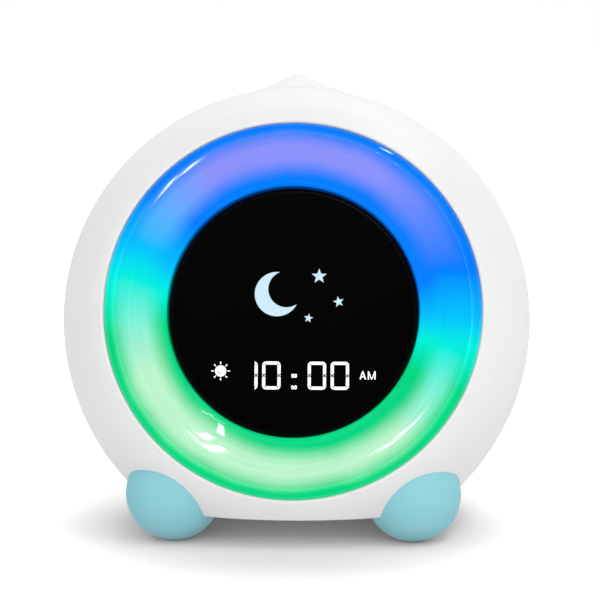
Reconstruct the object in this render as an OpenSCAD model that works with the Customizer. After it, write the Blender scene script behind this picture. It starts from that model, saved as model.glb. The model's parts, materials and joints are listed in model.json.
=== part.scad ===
// Kids alarm clock with a night light ring: a round moulded body that leans
// back on two ball-ended feet. Everything that belongs to the face is drawn
// in face coordinates: x to the right, y up the face, z out of the face.
// The origin is on the floor, under the middle of the clock.

/* [Body] */
// Radius of the round body
body_r = 80; // [76:1:88]
// Half width of the band that follows the full sphere
band_h = 22; // [18:1:26]
// Radius of the rounded front shoulder
front_round = 30; // [26:1:34]
// Radius of the rounded back shoulder
back_round = 34; // [30:1:38]
// Wall of both shells
wall = 2.4; // [2:0.1:3]
// How far the face leans back, in degrees
tilt = 12.3; // [9:0.1:15]
// Height of the body's centre above the floor
body_z = 69.5; // [67:0.5:74]
// Height of the flat underside above the floor
belly_z = 9.6; // [8:0.2:12]
// Depth of the register between the shells
lip_h = 2.2; // [1.5:0.1:3]

/* [Peak] */
// Height of the peak above the round body
peak_h = 6; // [4:0.5:10]
// Radius of the rounded tip
peak_tip = 4; // [3:0.5:6]
// Slope just below the tip, in degrees
peak_slope = 29; // [24:1:34]
// Radius at which the peak runs out into the body
peak_foot = 19; // [16:0.5:22]
// Hollow of the peak's flank
peak_sag = 0.4; // [0.1:0.1:0.8]

/* [Night light] */
// Outer radius of the light ring
ring_r = 62.1; // [58:0.1:65]
// How far the ring swells from its inner edge to its crest
ring_crown = 8; // [6:0.5:9]
// Width of the flank outside the ring's crest
ring_flank = 3.7; // [3:0.1:4.5]
// Wall of the ring diffuser
ring_wall = 2; // [1.5:0.1:2.6]
// Height of the ring's outer lip above its seat
ring_lip = 2.3; // [2:0.1:3]
// Rounding of the shell's edge around the ring
mouth_round = 0.8; // [0.4:0.1:1.2]
// Number of lamps on the ring board
led_count = 24; // [12:4:36]
// Side of one lamp
led_w = 5; // [3:0.5:5]

/* [Display] */
// Radius of the black window
window_r = 41.4; // [38:0.1:42]
// How far the window's front lies behind the body's front
window_sink = 8.7; // [8:0.1:9.5]
// Thickness of the window
window_t = 2.5; // [2:0.1:3.2]
// Rounding of the window's edge
window_round = 1.2; // [0.6:0.1:1.8]
// Width of the digit block
digits_w = 56; // [52:1:57]
// Height of the digit block
digits_h = 41; // [36:1:42]
// How far the digit block lies below the middle of the face
digits_drop = 5.5; // [4:0.1:7]
// Height of a digit
digit_h = 9.7; // [8:0.1:11]
// Width of a digit
digit_w = 6.5; // [5:0.1:7]
// Stroke of a digit
digit_stroke = 1.3; // [0.8:0.1:1.6]
// Distance between two digits
digit_pitch = 7.6; // [7:0.1:8.2]
// Room for the colon between hours and minutes
colon_room = 7.5; // [6:0.1:8]
// Height of the time below the middle of the face
time_drop = 20.8; // [18:0.1:21]
// Width of the display board
display_w = 72; // [70:1:76]
// Height of the display board
display_h = 56; // [54:1:58]

/* [Main board] */
// Width of the main board
main_w = 94; // [90:1:96]
// Height of the main board
main_h = 62; // [60:1:64]
// Distance from the display board back to the main board
main_drop = 15; // [12:0.5:16]
// Thickness of all circuit boards
board_t = 1.6; // [1:0.1:2]

/* [Feet] */
// Radius of the ball ends
foot_r = 16; // [14:0.5:17]
// Distance of each foot from the middle
foot_x = 40; // [36:1:44]
// Where the front ball sits, in front of the body's centre
foot_front = 36.3; // [33:0.1:40]
// Where the back ball sits, behind the body's centre
foot_back = 22.7; // [16:0.1:28]
// Thickness of the rubber pads
pad_t = 1.6; // [1.2:0.1:2.2]

/* [Buttons] */
// Radius of a button cap
button_r = 4.5; // [4:0.1:4.9]
// Travel of a button
button_travel = 0.7; // [0.4:0.1:1]
// Radius of the arc that the buttons lie on
button_arc = 35; // [34:0.5:36]
// Angle between neighbouring buttons
button_step = 22; // [22:0.5:24]

/* [Speaker] */
// Radius of the loudspeaker
speaker_r = 12.5; // [10:0.5:13]
// Height of the loudspeaker above the face centre
speaker_y = 23; // [22.5:0.5:25]
// Radius of one sound hole
sound_hole = 0.9; // [0.6:0.1:1.1]

/* [Battery bay] */
// Diameter of a cell
cell_d = 10.5; // [10:0.1:10.7]
// Length of a cell
cell_l = 44.5; // [40:0.5:45]
// Width of the battery door
door_w = 53; // [51:0.5:54]
// Height of the battery door
door_h = 35; // [34:0.5:36]
// Thickness of the battery door
door_t = 2; // [1.6:0.1:2.4]
// Height of the bay's centre below the face centre
bay_drop = 18; // [18:0.1:19]

/* [Fits] */
// Gap between pieces that move or that are set in an opening
gap = 0.3; // [0.2:0.05:0.4]

/* [Hidden] */
$fn = 96;
eps = 0.01;
peak_rim = 0.05;

// Shoulder centres of the profile, in (radius, height) of the revolve
band_a = asin(band_h / body_r);
front_c = polar(band_a, body_r - front_round);
back_c = polar(-band_a, body_r - back_round);
mouth_r = ring_r + gap;
front_a = acos((mouth_r - front_c[0]) / front_round);
front_z = front_c[1] + front_round * sin(front_a);
mouth_c = [mouth_r + mouth_round, front_c[1] + sqrt(pow(front_round - mouth_round, 2)
  - pow(mouth_r + mouth_round - front_c[0], 2))];
mouth_a = atan2(mouth_c[1] - front_c[1], mouth_c[0] - front_c[0]);
peak_z = body_r + peak_h;
back_z = back_c[1] - back_round;

// Front stack, from the ring's seat inwards
seat_z = front_z - 3;
seat_t = 2;
seat_in = mouth_r - 5.3;
window_z = front_z - window_sink - window_t;
frame_t = 4.9;
frame_z = window_z - frame_t;
tray_t = 1.5;
tray_z = frame_z - tray_t;
ring_in = window_r + gap;
ring_step = 1;
crest_r = ring_r - ring_flank;
crest_z = window_z + window_t + ring_step + ring_crown;
bead_w = 0.8;
bead_step = 0.6;
lip_round = 1.2;
tray_out = seat_in + 3.2;
post_r = 3;
tray_in = ring_in - 5.7;
tray_tab = 3.5;
tray_screw_r = tray_out + post_r + gap;
tray_screw_angles = [0, 90, 180, 246, 294];
main_z = tray_z - main_drop;

// Back wall
back_in = back_z + wall;

// The clock's own middle, so that the origin is under the middle of its depth
reach_front = max(crest_z * cos(tilt) + crest_r * sin(tilt), foot_front + foot_r);
reach_back = back_c[0] * sin(tilt) - back_c[1] * cos(tilt) + back_round;
body_y = (reach_front - reach_back) / 2;

// Screws: [shaft radius, head radius, head height]
m3 = [1.5, 2.9, 1.9];
m2 = [1.0, 1.9, 1.3];

// Case screws
case_post = 4;
case_tube = 5.2;
case_at = (tray_out + 1.7 + case_post) * cos(45);
case_head_z = -6;
case_bite = 10;

// Bosses that carry the battery box and the loudspeaker's clamp
boss_h = 6;
boss_r = 2.4;
ear_t = 1.6;
clamp_at = speaker_r + 3.1;
clamp_angles = [40, 140];

// Display
digit_x = [for (s = [-1, 1], k = [0, 1]) s * ((digit_pitch + colon_room) / 2 + k * digit_pitch)];
display_edge = 3;
display_gap = 1.6;
glass_t = 2.1;
frame_rim = 0.5;
ribbon_y = display_h / 2 - 6;
main_edge = 4;

// Buttons
button_angles = [for (side = [0, 1], k = [0:2]) side == 0 ? 10 + k * button_step
  : 170 - k * button_step];
button_proud = 1.2;
flange_r = button_r + 1.3;
flange_t = 1;
stem_r = 1.6;
switch_h = 3.6;
plunger_h = 1;
switch_z = back_in + gap + flange_t + 1 + button_travel + 0.1 + plunger_h + switch_h;
button_post_r = 2.2;
button_ears = [[24, 10], [34.6, 32.5]];
button_posts = [for (s = [-1, 1], p = button_ears) [s * p[0], p[1]]];

// Battery bay, in face coordinates
bay_y = -bay_drop;
hinge_y = bay_y - door_h / 2 - gap;
tongue_w = 6;
tongue_t = 1.2;
tongue_x = 14;
ear_y = 3;
ear_r = 4.5;
door_seat = m2[2] + 0.1;
rim_z = back_in + 0.25;
box_wall = 1.6;
box_in = [door_w - 1.8, door_h - 0.2];
ears_up = bay_y + box_in[1] / 2 + 5.4;
ears_down = bay_y - box_in[1] / 2 - 5.8;
battery_ears = [[-22, ears_up], [22, ears_up], [-15, ears_down], [15, ears_down]];
box_floor_z = rim_z + cell_d + 1.1;
cell_z = rim_z + 0.5 + cell_d / 2;
cell_step = cell_d + 0.5;

// Feet
foot_flat = 0.3;
foot_z = foot_r - 0.7 + foot_flat;
pad_w = 3.4;
foot_screws_y = [-foot_front + 15, foot_back - 6];
foot_sink = 5;

// USB socket
usb_at = [35.5, -14.5];
usb_size = [3.2, 9, 7.3];
usb_wall = 0.4;
usb_hole = [6.5, 11];
usb_board_x = usb_at[0] - usb_size[0] / 2 - board_t / 2;
usb_board_h = 17;

// A point at an angle and a radius
function polar(a, r) = [r * cos(a), r * sin(a)];

// Points of a round stretch
function arc(c, r, a0, a1, n) = [for (k = [0:n]) c + polar(a0 + (a1 - a0) * k / n, r)];

// Outline of the body's revolve, moved inwards by o and closed at height top
function body_outline(o, top) = concat(
  [[0, back_z + o]],
  arc(back_c, back_round - o, -90, -band_a, 14),
  arc([0, 0], body_r - o, -band_a, band_a, 8),
  arc(front_c, front_round - o, band_a, asin((top - front_c[1]) / (front_round - o)), 9),
  [[0, top]]);

// Outline of both shells, with the ring's mouth and its rounded edge
function shell_outline() = concat(
  [[0, back_z]],
  arc(back_c, back_round, -90, -band_a, 14),
  arc([0, 0], body_r, -band_a, band_a, 8),
  arc(front_c, front_round, band_a, mouth_a, 9),
  arc(mouth_c, mouth_round, mouth_a, 180, 4),
  [[mouth_r, seat_z], [0, seat_z]]);

// Places its children on the face
module face() {
  translate([0, body_y, body_z]) rotate([90 - tilt, 0, 0]) children();
}

// Everything above a height over the floor
module above(z) {
  translate([-120, -120, z]) cube([240, 240, 240]);
}

module disc(r, z0, z1) {
  translate([0, 0, z0]) cylinder(r = r, h = z1 - z0);
}

module ring(r0, r1, z0, z1) {
  difference() {
    disc(r1, z0, z1);
    disc(r0, z0 - 1, z1 + 1);
  }
}

module block(w, h, z0, z1) {
  translate([-w / 2, -h / 2, z0]) cube([w, h, z1 - z0]);
}

module at_angles(angles, r) {
  for (a = angles) rotate([0, 0, a]) translate([r, 0, 0]) children();
}

module at_corners(x, y) {
  for (sx = [-1, 1], sy = [-1, 1]) translate([sx * x, sy * y, 0]) children();
}

// Screw whose head sits at z and whose shaft runs towards +z
module screw(size, z, length) {
  difference() {
    union() {
      disc(size[1], z - size[2], z);
      disc(size[0], z - eps, z + length);
    }
    for (a = [0, 90]) rotate([0, 0, a])
      block(size[1] * 1.3, size[0] * 0.45, z - size[2] - 1, z - size[2] * 0.45);
  }
}

// ---- body --------------------------------------------------------------

module body_form(o = 0, top = front_z) {
  rotate_extrude() polygon(body_outline(o, top));
}

// The peak: a rounded tip and a hollow flank, around the body's upright axis.
// Its rim stands proud of the body by a hair, so that the two never graze.
module peak_form(o = 0) {
  c = [0, peak_z - peak_tip];
  start = c + polar(90 - peak_slope, peak_tip - o);
  end = polar(acos(peak_foot / body_r), body_r - o + peak_rim);
  flank = end - start;
  inward = -[-flank[1], flank[0]] / norm(flank);
  n = 5;
  rotate([-90, 0, 0]) rotate_extrude() polygon(concat(
    arc(c, peak_tip - o, 90, 90 - peak_slope, 4),
    [for (k = [1:n]) start + flank * k / n + inward * 4 * peak_sag * k * (n - k) / n / n],
    [[end[0], peak_z - 26], [0, peak_z - 26]]));
}

module outer_form() {
  rotate_extrude() polygon(shell_outline());
  peak_form();
}

// Shell half: the outer form between two heights, above the flat underside
module shell_half(z0, z1) {
  intersection() {
    face() intersection() {
      outer_form();
      disc(body_r + 20, z0, z1);
    }
    above(belly_z);
  }
}

// The hollow inside both shells, up to a height along the face
module hollow(o, top) {
  intersection() {
    face() {
      body_form(o, top);
      peak_form(o);
    }
    above(belly_z + o);
  }
}

// Posts stay inside the skin
module inside_skin() {
  intersection() {
    children();
    face() body_form(wall / 2, seat_z - seat_t / 2);
    above(belly_z + wall / 2);
  }
}

// Places its children at both feet
module at_feet() {
  for (s = [-1, 1]) translate([s * foot_x, body_y, 0]) children();
}

module foot_bosses(front) {
  at_feet() translate([0, foot_screws_y[front ? 0 : 1], belly_z + wall / 2])
    difference() {
      cylinder(r = 3.6, h = 8);
      translate([0, 0, -1]) cylinder(r = m3[0] + 0.1, h = 10);
    }
}

module foot_pilots(front) {
  at_feet() translate([0, foot_screws_y[front ? 0 : 1], belly_z - 1])
    cylinder(r = m3[0] + 0.1, h = 9.5);
}

module front_shell() color([0.93, 0.93, 0.93]) {
  difference() {
    shell_half(0, front_z + 1);
    hollow(wall, seat_z - seat_t);
    face() disc(seat_in, 0, front_z);
    foot_pilots(true);
  }
  inside_skin() face() at_corners(case_at, case_at) difference() {
    disc(case_post, 0, seat_z);
    disc(m3[0] + 0.1, -1, case_bite + 2);
  }
  inside_skin() face() at_angles(tray_screw_angles, tray_screw_r) difference() {
    disc(post_r, tray_z + tray_tab, seat_z);
    disc(m2[0] + 0.1, tray_z, seat_z - 3);
  }
  foot_bosses(true);
}

module sound_holes() {
  step = sound_hole * 3.2;
  for (i = [-4:4], j = [-4:4]) {
    p = [i * step + (j % 2 == 0 ? 0 : step / 2), j * step * 0.866];
    if (norm(p) < speaker_r - 2.2)
      translate([p[0], speaker_y + p[1], back_z - 1]) cylinder(r = sound_hole, h = wall + 2, $fn = 24);
  }
}

module door_outline(grow) {
  translate([0, bay_y]) square([door_w + 2 * grow, door_h + 2 * grow], center = true);
  translate([0, ear_y]) circle(ear_r + grow);
  translate([-ear_r - grow, bay_y]) square([2 * (ear_r + grow), ear_y - bay_y]);
}

// Thin lip inside the seam, which locates the front shell
module register_lip() {
  intersection() {
    above(belly_z + wall + 1);
    face() difference() {
      union() {
        intersection() {
          body_form(wall / 2, band_h + 2);
          disc(body_r, -2, 0);
        }
        intersection() {
          body_form(wall + gap, band_h + 2);
          disc(body_r, -1, lip_h);
        }
      }
      body_form(wall + 1.5, band_h + 2);
    }
  }
}

module rear_shell() color([0.93, 0.93, 0.93]) {
  difference() {
    shell_half(back_z - 5, 0);
    hollow(wall, seat_z - seat_t);
    face() {
      at_angles(button_angles, button_arc) disc(button_r + gap, back_z - 1, back_in + 1);
      sound_holes();
      translate([0, 0, back_z - 1]) linear_extrude(wall + 2) door_outline(gap);
      translate(usb_at) block(usb_hole[0], usb_hole[1], back_z - 1, back_in + 1);
      at_corners(case_at, case_at) disc(m3[1] + 0.6, back_z - 1, case_head_z);
    }
    foot_pilots(false);
  }
  register_lip();
  // screw tubes
  inside_skin() face() at_corners(case_at, case_at) difference() {
    disc(case_tube, back_z, 0);
    disc(m3[1] + 0.6, back_z - 1, case_head_z);
    disc(m3[0] + 0.2, case_head_z - 1, 1);
  }
  face() {
    // wall around the loudspeaker, and the bosses of its clamp
    translate([0, speaker_y, 0]) {
      ring(speaker_r + gap, speaker_r + 1.5, back_in - 0.5, back_in + boss_h);
      at_angles(clamp_angles, clamp_at) difference() {
        disc(boss_r, back_in - 0.5, back_in + boss_h);
        disc(m2[0] + 0.1, back_in + 1, back_in + boss_h + 1);
      }
    }
    // bosses of the battery box
    for (p = battery_ears) translate(p) difference() {
      disc(post_r, back_in - 0.5, back_in + boss_h);
      disc(m2[0] + 0.1, back_in + 1, back_in + boss_h + 1);
    }
    // bosses of the two button boards
    for (p = button_posts) translate(p) difference() {
      disc(button_post_r, back_in - 0.5, switch_z);
      disc(m2[0] + 0.1, switch_z - 4, switch_z + 1);
    }
    // slotted rails that hold the board of the socket
    translate([usb_board_x, usb_at[1], 0]) for (s = [-1, 1]) difference() {
      translate([-2.4, s > 0 ? 7.2 : -9.7, back_in - 0.5]) cube([4.8, 2.5, 14]);
      translate([-board_t / 2 - 0.1, -8.1, back_in - 1]) cube([board_t + 0.2, 16.2, 16]);
    }
  }
  foot_bosses(false);
}

// ---- night light -------------------------------------------------------

// The ring's swelling front, a quarter of an ellipse moved inwards by o
function ring_front(o, a0, a1, n) = [for (k = [0:n]) let (a = a0 + (a1 - a0) * k / n)
  [crest_r + (crest_r - ring_in - o) * cos(a), crest_z - ring_crown + (ring_crown - o) * sin(a)]];

module light_ring() color([0.55, 0.9, 0.95]) face() rotate_extrude() {
  bottom = window_z + gap;
  lip_c = [ring_r - lip_round, seat_z + ring_lip - lip_round];
  polygon(concat(
    [[ring_in, bottom]],
    ring_front(0, 180, 90, 16),
    [[crest_r + bead_w / 2, crest_z], [crest_r + bead_w, crest_z - bead_step]],
    arc(lip_c, lip_round, 75, 0, 5),
    [[ring_r, seat_z], [seat_in + 1, seat_z]],
    ring_front(ring_wall, 90, 180, 12),
    [[ring_in + ring_wall, bottom]]));
}

module display_corners() {
  at_corners(display_w / 2 - display_edge, display_h / 2 - display_edge) children();
}

module main_corners() {
  at_corners(main_w / 2 - main_edge, main_h / 2 - main_edge) children();
}

module reflector_tray() color([0.97, 0.97, 0.97]) face() difference() {
  union() {
    rotate_extrude() polygon([[tray_in, tray_z], [tray_out, tray_z], [tray_out, seat_z - seat_t],
      [tray_out - 1.6, seat_z - seat_t], [tray_out - 1.6, frame_z], [ring_in + 2.1, frame_z],
      [ring_in + 2.1, window_z], [ring_in + 0.5, window_z], [ring_in + 0.5, frame_z],
      [tray_in, frame_z]]);
    at_angles(tray_screw_angles, 0)
      translate([tray_out - 1, -post_r - 1, tray_z])
        cube([tray_screw_r + post_r + 1 - tray_out, 2 * post_r + 2, tray_tab - eps]);
    display_corners() disc(post_r, tray_z - display_gap, tray_z + eps);
    main_corners() disc(post_r, main_z + board_t, tray_z + eps);
  }
  translate([0, 0, tray_z - 1]) linear_extrude(tray_t + 2) digits_outline(gap);
  at_angles(tray_screw_angles, tray_screw_r) disc(m2[0] + 0.2, tray_z - 1, tray_z + 5);
  display_corners() disc(m2[0] + 0.1, tray_z - 2, tray_z + 1);
  main_corners() disc(m2[0] + 0.1, main_z, main_z + 9);
}

module ring_board() color([0.93, 0.95, 0.93]) face()
  ring(ring_in + 3, tray_out - 2.4, frame_z, frame_z + 1.2);

module ring_lamps() color([0.98, 0.95, 0.7]) face()
  at_angles([for (k = [0:led_count - 1]) (k + 0.5) * 360 / led_count],
    (ring_in + 3 + tray_out - 2.4) / 2)
    block(led_w, led_w, frame_z + 1.2, frame_z + 2.8);

module tray_screws() color("silver") face()
  at_angles(tray_screw_angles, tray_screw_r) screw(m2, tray_z, 9);

// ---- display -----------------------------------------------------------

module display_window() color([0.03, 0.03, 0.04]) face() rotate_extrude() polygon(concat(
  [[0, window_z], [window_r, window_z]],
  arc([window_r - window_round, window_z + window_t - window_round], window_round, 0, 90, 6),
  [[0, window_z + window_t]]));

// Outline of the digit block, which stays inside the frame's rim
module digits_outline(grow) {
  intersection() {
    translate([0, -digits_drop]) square([digits_w + 2 * grow, digits_h + 2 * grow], center = true);
    circle(ring_in - frame_rim - 1 + grow);
  }
}

module window_frame() color([0.08, 0.08, 0.09]) face() difference() {
  disc(ring_in + 0.2, frame_z, window_z);
  translate([0, 0, frame_z - 1]) linear_extrude(window_z - frame_z + 2) digits_outline(1);
}

// Light guides of the seven segments of one digit
module segment_slots(z0, z1) {
  x = (digit_w - digit_stroke) / 2;
  y = (digit_h - digit_stroke) / 2;
  for (s = [-1, 0, 1]) translate([0, s * y, 0])
    block(digit_w - 2 * digit_stroke - gap, digit_stroke, z0, z1);
  for (sx = [-1, 1], sy = [-1, 1]) translate([sx * x, sy * y / 2, 0])
    block(digit_stroke, y - digit_stroke - gap, z0, z1);
}

module digit_block() color([0.95, 0.95, 0.95]) face() difference() {
  z0 = tray_z - display_gap;
  z1 = window_z - gap - glass_t;
  translate([0, 0, z0]) linear_extrude(z1 - z0) digits_outline(0);
  for (x = digit_x) translate([x, -time_drop, 0]) segment_slots(z0 - 1, z1 + 1);
  for (s = [-1, 1]) translate([0, -time_drop + s * digit_h / 5, 0])
    block(digit_stroke, digit_stroke, z0 - 1, z1 + 1);
}

module display_glass() color([0.12, 0.12, 0.14]) face()
  translate([0, 0, window_z - gap - glass_t]) linear_extrude(glass_t) digits_outline(0);

module display_board() color([0.1, 0.35, 0.2]) face() difference() {
  block(display_w, display_h, tray_z - display_gap - board_t, tray_z - display_gap);
  display_corners() disc(m2[0] + 0.2, tray_z - 5, tray_z);
}

module display_screws() color("silver") face()
  display_corners() screw(m2, tray_z - display_gap - board_t, 4);

// ---- main board --------------------------------------------------------

module main_board() color([0.1, 0.35, 0.2]) face() difference() {
  block(main_w, main_h, main_z, main_z + board_t);
  main_corners() disc(m2[0] + 0.2, main_z - 1, main_z + board_t + 1);
}

module board_screws() color("silver") face()
  main_corners() screw(m2, main_z, 8);

module board_chips() color([0.1, 0.1, 0.1]) face() {
  translate([-10, 4, 0]) block(12, 12, main_z - 1.4, main_z);
  translate([12, 8, 0]) block(6, 8, main_z - 1.5, main_z);
  translate([30, -10, 0]) block(5, 4, main_z - 1.5, main_z);
}

module board_capacitors() color([0.15, 0.18, 0.3]) face() {
  translate([26, 14, 0]) disc(3.15, main_z - 8, main_z);
  translate([34, 14, 0]) disc(3.15, main_z - 8, main_z);
  translate([-30, -16, 0]) disc(2.5, main_z - 7, main_z);
}

module connector(w) {
  difference() {
    block(w, 5.5, main_z - 6, main_z);
    block(w - 1.6, 3.9, main_z - 7, main_z - 1.5);
  }
}

module board_connectors() color([0.95, 0.94, 0.88]) face() {
  translate([-30, 20, 0]) connector(10);
  translate([-14, 20, 0]) connector(7.5);
  translate([10, -20, 0]) connector(7.5);
  translate([24, -20, 0]) connector(12);
}

// Flat ribbon from the display board back to the main board
module display_ribbon() color([0.85, 0.85, 0.85]) face()
  translate([0, ribbon_y, 0]) block(16, 0.4, main_z + board_t, tray_z - display_gap - board_t);

// ---- loudspeaker -------------------------------------------------------

module speaker_frame() color([0.3, 0.3, 0.32]) face() translate([0, speaker_y, 0])
  rotate_extrude() polygon([[speaker_r, back_in], [speaker_r, back_in + 2],
    [speaker_r - 4, back_in + 6.5], [3, back_in + 6.5], [3, back_in + 5.7],
    [speaker_r - 4.6, back_in + 5.7], [speaker_r - 1.2, back_in + 1.2],
    [speaker_r - 1.2, back_in]]);

module speaker_cone() color([0.12, 0.12, 0.12]) face() translate([0, speaker_y, 0])
  rotate_extrude() polygon([[0, back_in + 2.2], [3.2, back_in + 2.9], [speaker_r - 3, back_in + 0.8],
    [speaker_r - 1.2, back_in + 0.8], [speaker_r - 1.2, back_in + 1.2], [speaker_r - 2.8, back_in + 1.4],
    [3.2, back_in + 3.5], [3, back_in + 5.7], [2.6, back_in + 5.7], [2.6, back_in + 3.2], [0, back_in + 2.8]]);

module speaker_magnet() color([0.45, 0.45, 0.47]) face() translate([0, speaker_y, 0])
  ring(2.2, speaker_r - 5, back_in + 6.5, back_in + 10.5);

module speaker_clamp() color([0.9, 0.9, 0.9]) face() translate([0, speaker_y, 0]) difference() {
  union() {
    disc(speaker_r + 1.5, back_in + boss_h, back_in + boss_h + ear_t);
    at_angles(clamp_angles, clamp_at) disc(boss_r, back_in + boss_h, back_in + boss_h + ear_t);
  }
  disc(speaker_r - 3.6, back_in + 5, back_in + 9);
  at_angles(clamp_angles, clamp_at) disc(m2[0] + 0.2, back_in + 5, back_in + 9);
}

module flipped_screws(z, length) {
  translate([0, 0, z]) mirror([0, 0, 1]) screw(m2, 0, length);
}

module speaker_screws() color("silver") face() translate([0, speaker_y, 0])
  at_angles(clamp_angles, clamp_at) flipped_screws(back_in + boss_h + ear_t, 6);

// ---- buttons -----------------------------------------------------------

module button(k) face() at_angles([button_angles[k]], button_arc) {
  disc(button_r, back_z - button_proud, back_in + gap + eps);
  disc(flange_r, back_in + gap, back_in + gap + flange_t);
  disc(stem_r, back_in + gap + flange_t - eps,
    switch_z - switch_h - plunger_h - button_travel - 0.1);
}

module button_1() color([0.93, 0.93, 0.93]) button(0);
module button_2() color([0.93, 0.93, 0.93]) button(1);
module button_3() color([0.93, 0.93, 0.93]) button(2);
module button_4() color([0.93, 0.93, 0.93]) button(3);
module button_5() color([0.93, 0.93, 0.93]) button(4);
module button_6() color([0.93, 0.93, 0.93]) button(5);

module button_board() color([0.1, 0.35, 0.2]) face() for (s = [0, 1]) mirror([s, 0, 0])
  difference() {
    translate([0, 0, switch_z]) linear_extrude(board_t) hull() {
      for (k = [0:2]) rotate(button_angles[k]) translate([button_arc, 0]) circle(4.5, $fn = 32);
      for (p = button_ears) translate(p) circle(3, $fn = 32);
    }
    for (p = button_ears) translate(p) disc(m2[0] + 0.2, switch_z - 1, switch_z + 3);
  }

module button_switches() color([0.2, 0.2, 0.2]) face()
  at_angles(button_angles, button_arc) {
    block(6, 6, switch_z - switch_h, switch_z);
    disc(1.7, switch_z - switch_h - plunger_h, switch_z - 0.5);
  }

module button_screws() color("silver") face()
  for (p = button_posts) translate(p) flipped_screws(switch_z + board_t, 5);

// ---- USB socket --------------------------------------------------------

module usb_board() color([0.1, 0.35, 0.2]) face() translate([usb_board_x, usb_at[1], 0])
  block(board_t, 16, back_in + 0.2, back_in + usb_board_h);

// Upright slot shape with round ends
module slot(w, h, z0, z1) {
  block(w, h - w, z0, z1);
  for (s = [-1, 1]) translate([0, s * (h - w) / 2, 0]) disc(w / 2, z0, z1, $fn = 32);
}

module usb_socket() color("silver") face() translate([usb_at[0], usb_at[1], 0]) {
  front = back_in - 0.6;
  difference() {
    slot(usb_size[0], usb_size[1], front, front + usb_size[2]);
    slot(usb_size[0] - 2 * usb_wall, usb_size[1] - 2 * usb_wall, front - 1, front + usb_size[2] - 1.7);
  }
  block(0.7, usb_size[1] - 2.4, front + 0.8, front + usb_size[2] - 1.6);
}

// ---- battery bay -------------------------------------------------------

module battery_box() color([0.9, 0.9, 0.9]) face() difference() {
  union() {
    translate([0, bay_y, 0])
      block(box_in[0] + 2 * box_wall, box_in[1] + 2 * box_wall, rim_z, box_floor_z + box_wall);
    translate([0, ear_y + 0.4, 0]) disc(post_r, rim_z, rim_z + 6);
    for (p = battery_ears) hull() {
      translate(p) disc(post_r, back_in + boss_h, back_in + boss_h + ear_t, $fn = 32);
      translate([p[0], bay_y + sign(p[1] - bay_y) * (box_in[1] / 2 + box_wall / 2), 0])
        block(2 * post_r, 0.4, back_in + boss_h, back_in + boss_h + ear_t);
    }
  }
  translate([0, bay_y, 0]) block(box_in[0], box_in[1], rim_z - 1, box_floor_z);
  translate([0, ear_y + 0.4, 0]) disc(m2[0] + 0.7, rim_z - 1, rim_z + 5);
  for (p = battery_ears) translate(p) disc(m2[0] + 0.2, back_in + 5, back_in + 9);
  for (s = [-1, 1]) translate([s * tongue_x, hinge_y - 1, 0])
    block(tongue_w + 1.2, 3.4, rim_z - 1, rim_z + 2.6);
}

module cell(k) color([0.25, 0.45, 0.75]) face()
  translate([0, bay_y + (k - 1) * cell_step, cell_z]) rotate([0, k == 1 ? 90 : -90, 0])
    translate([0, 0, -cell_l / 2]) {
      cylinder(d = cell_d, h = cell_l - 0.8);
      cylinder(d = cell_d * 0.36, h = cell_l);
    }

module battery_cell_1() cell(0);
module battery_cell_2() cell(1);
module battery_cell_3() cell(2);

// One conical spring at the flat end of each cell
module battery_springs() color("silver") face() for (k = [0:2]) {
  s = k == 1 ? -1 : 1;
  translate([0, bay_y + (k - 1) * cell_step, cell_z]) rotate([0, s * 90, 0])
    rotate_extrude() polygon([[2.2, cell_l / 2], [3.2, cell_l / 2], [4.4, box_in[0] / 2 - 0.4],
      [3.2, box_in[0] / 2 - 0.4]]);
}

// Contact plates in the two side walls of the bay
module battery_contacts() color([0.8, 0.8, 0.75]) face() for (k = [0:2], s = [-1, 1])
  translate([s * (box_in[0] / 2 - 0.2), bay_y + (k - 1) * cell_step, 0])
    block(0.4, cell_d - 1.5, rim_z + 1.5, box_floor_z);

module battery_screws() color("silver") face()
  for (p = battery_ears) translate(p) flipped_screws(back_in + boss_h + ear_t, 5);

module battery_door() color([0.93, 0.93, 0.93]) face() difference() {
  union() {
    translate([0, 0, back_z]) linear_extrude(door_t) door_outline(0);
    for (s = [-1, 1]) translate([s * tongue_x, 0, 0]) {
      translate([-tongue_w / 2, hinge_y + gap, back_z + door_t - eps])
        cube([tongue_w, tongue_t, wall + gap + tongue_t - door_t + eps]);
      translate([-tongue_w / 2, hinge_y - 1.5, back_z + wall + gap])
        cube([tongue_w, 1.5 + gap + tongue_t + 0.2, tongue_t]);
    }
    // finger ribs
    for (k = [-2:2]) translate([0, bay_y - 2 + k * 2.2, 0]) block(16, 0.9, back_z - 0.4, back_z + eps);
  }
  translate([0, ear_y, 0]) disc(m2[1] + 0.3, back_z - 1, back_z + door_seat);
  translate([0, ear_y, 0]) disc(m2[0] + 0.15, back_z - 1, back_z + door_t + 1);
}

module door_screw() color("silver") face()
  translate([0, ear_y, 0]) screw(m2, back_z + door_seat, 4);

// ---- fasteners of the case ---------------------------------------------

module case_screws() color("silver") face()
  at_corners(case_at, case_at) screw(m3, case_head_z, case_bite - case_head_z);

// ---- feet --------------------------------------------------------------

// A capsule along the clock's depth
module foot_form() {
  translate([0, foot_back, foot_z]) rotate([90, 0, 0]) rotate_extrude()
    polygon(concat(arc([0, foot_front + foot_back], foot_r, 90, 0, 10),
      arc([0, 0], foot_r, 0, -90, 10)));
}

module pad_form(grow, z0, z1) {
  translate([0, 0, z0]) linear_extrude(z1 - z0) hull() {
    translate([0, -foot_front]) circle(pad_w + grow, $fn = 32);
    translate([0, foot_back]) circle(pad_w + grow, $fn = 32);
  }
}

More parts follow.
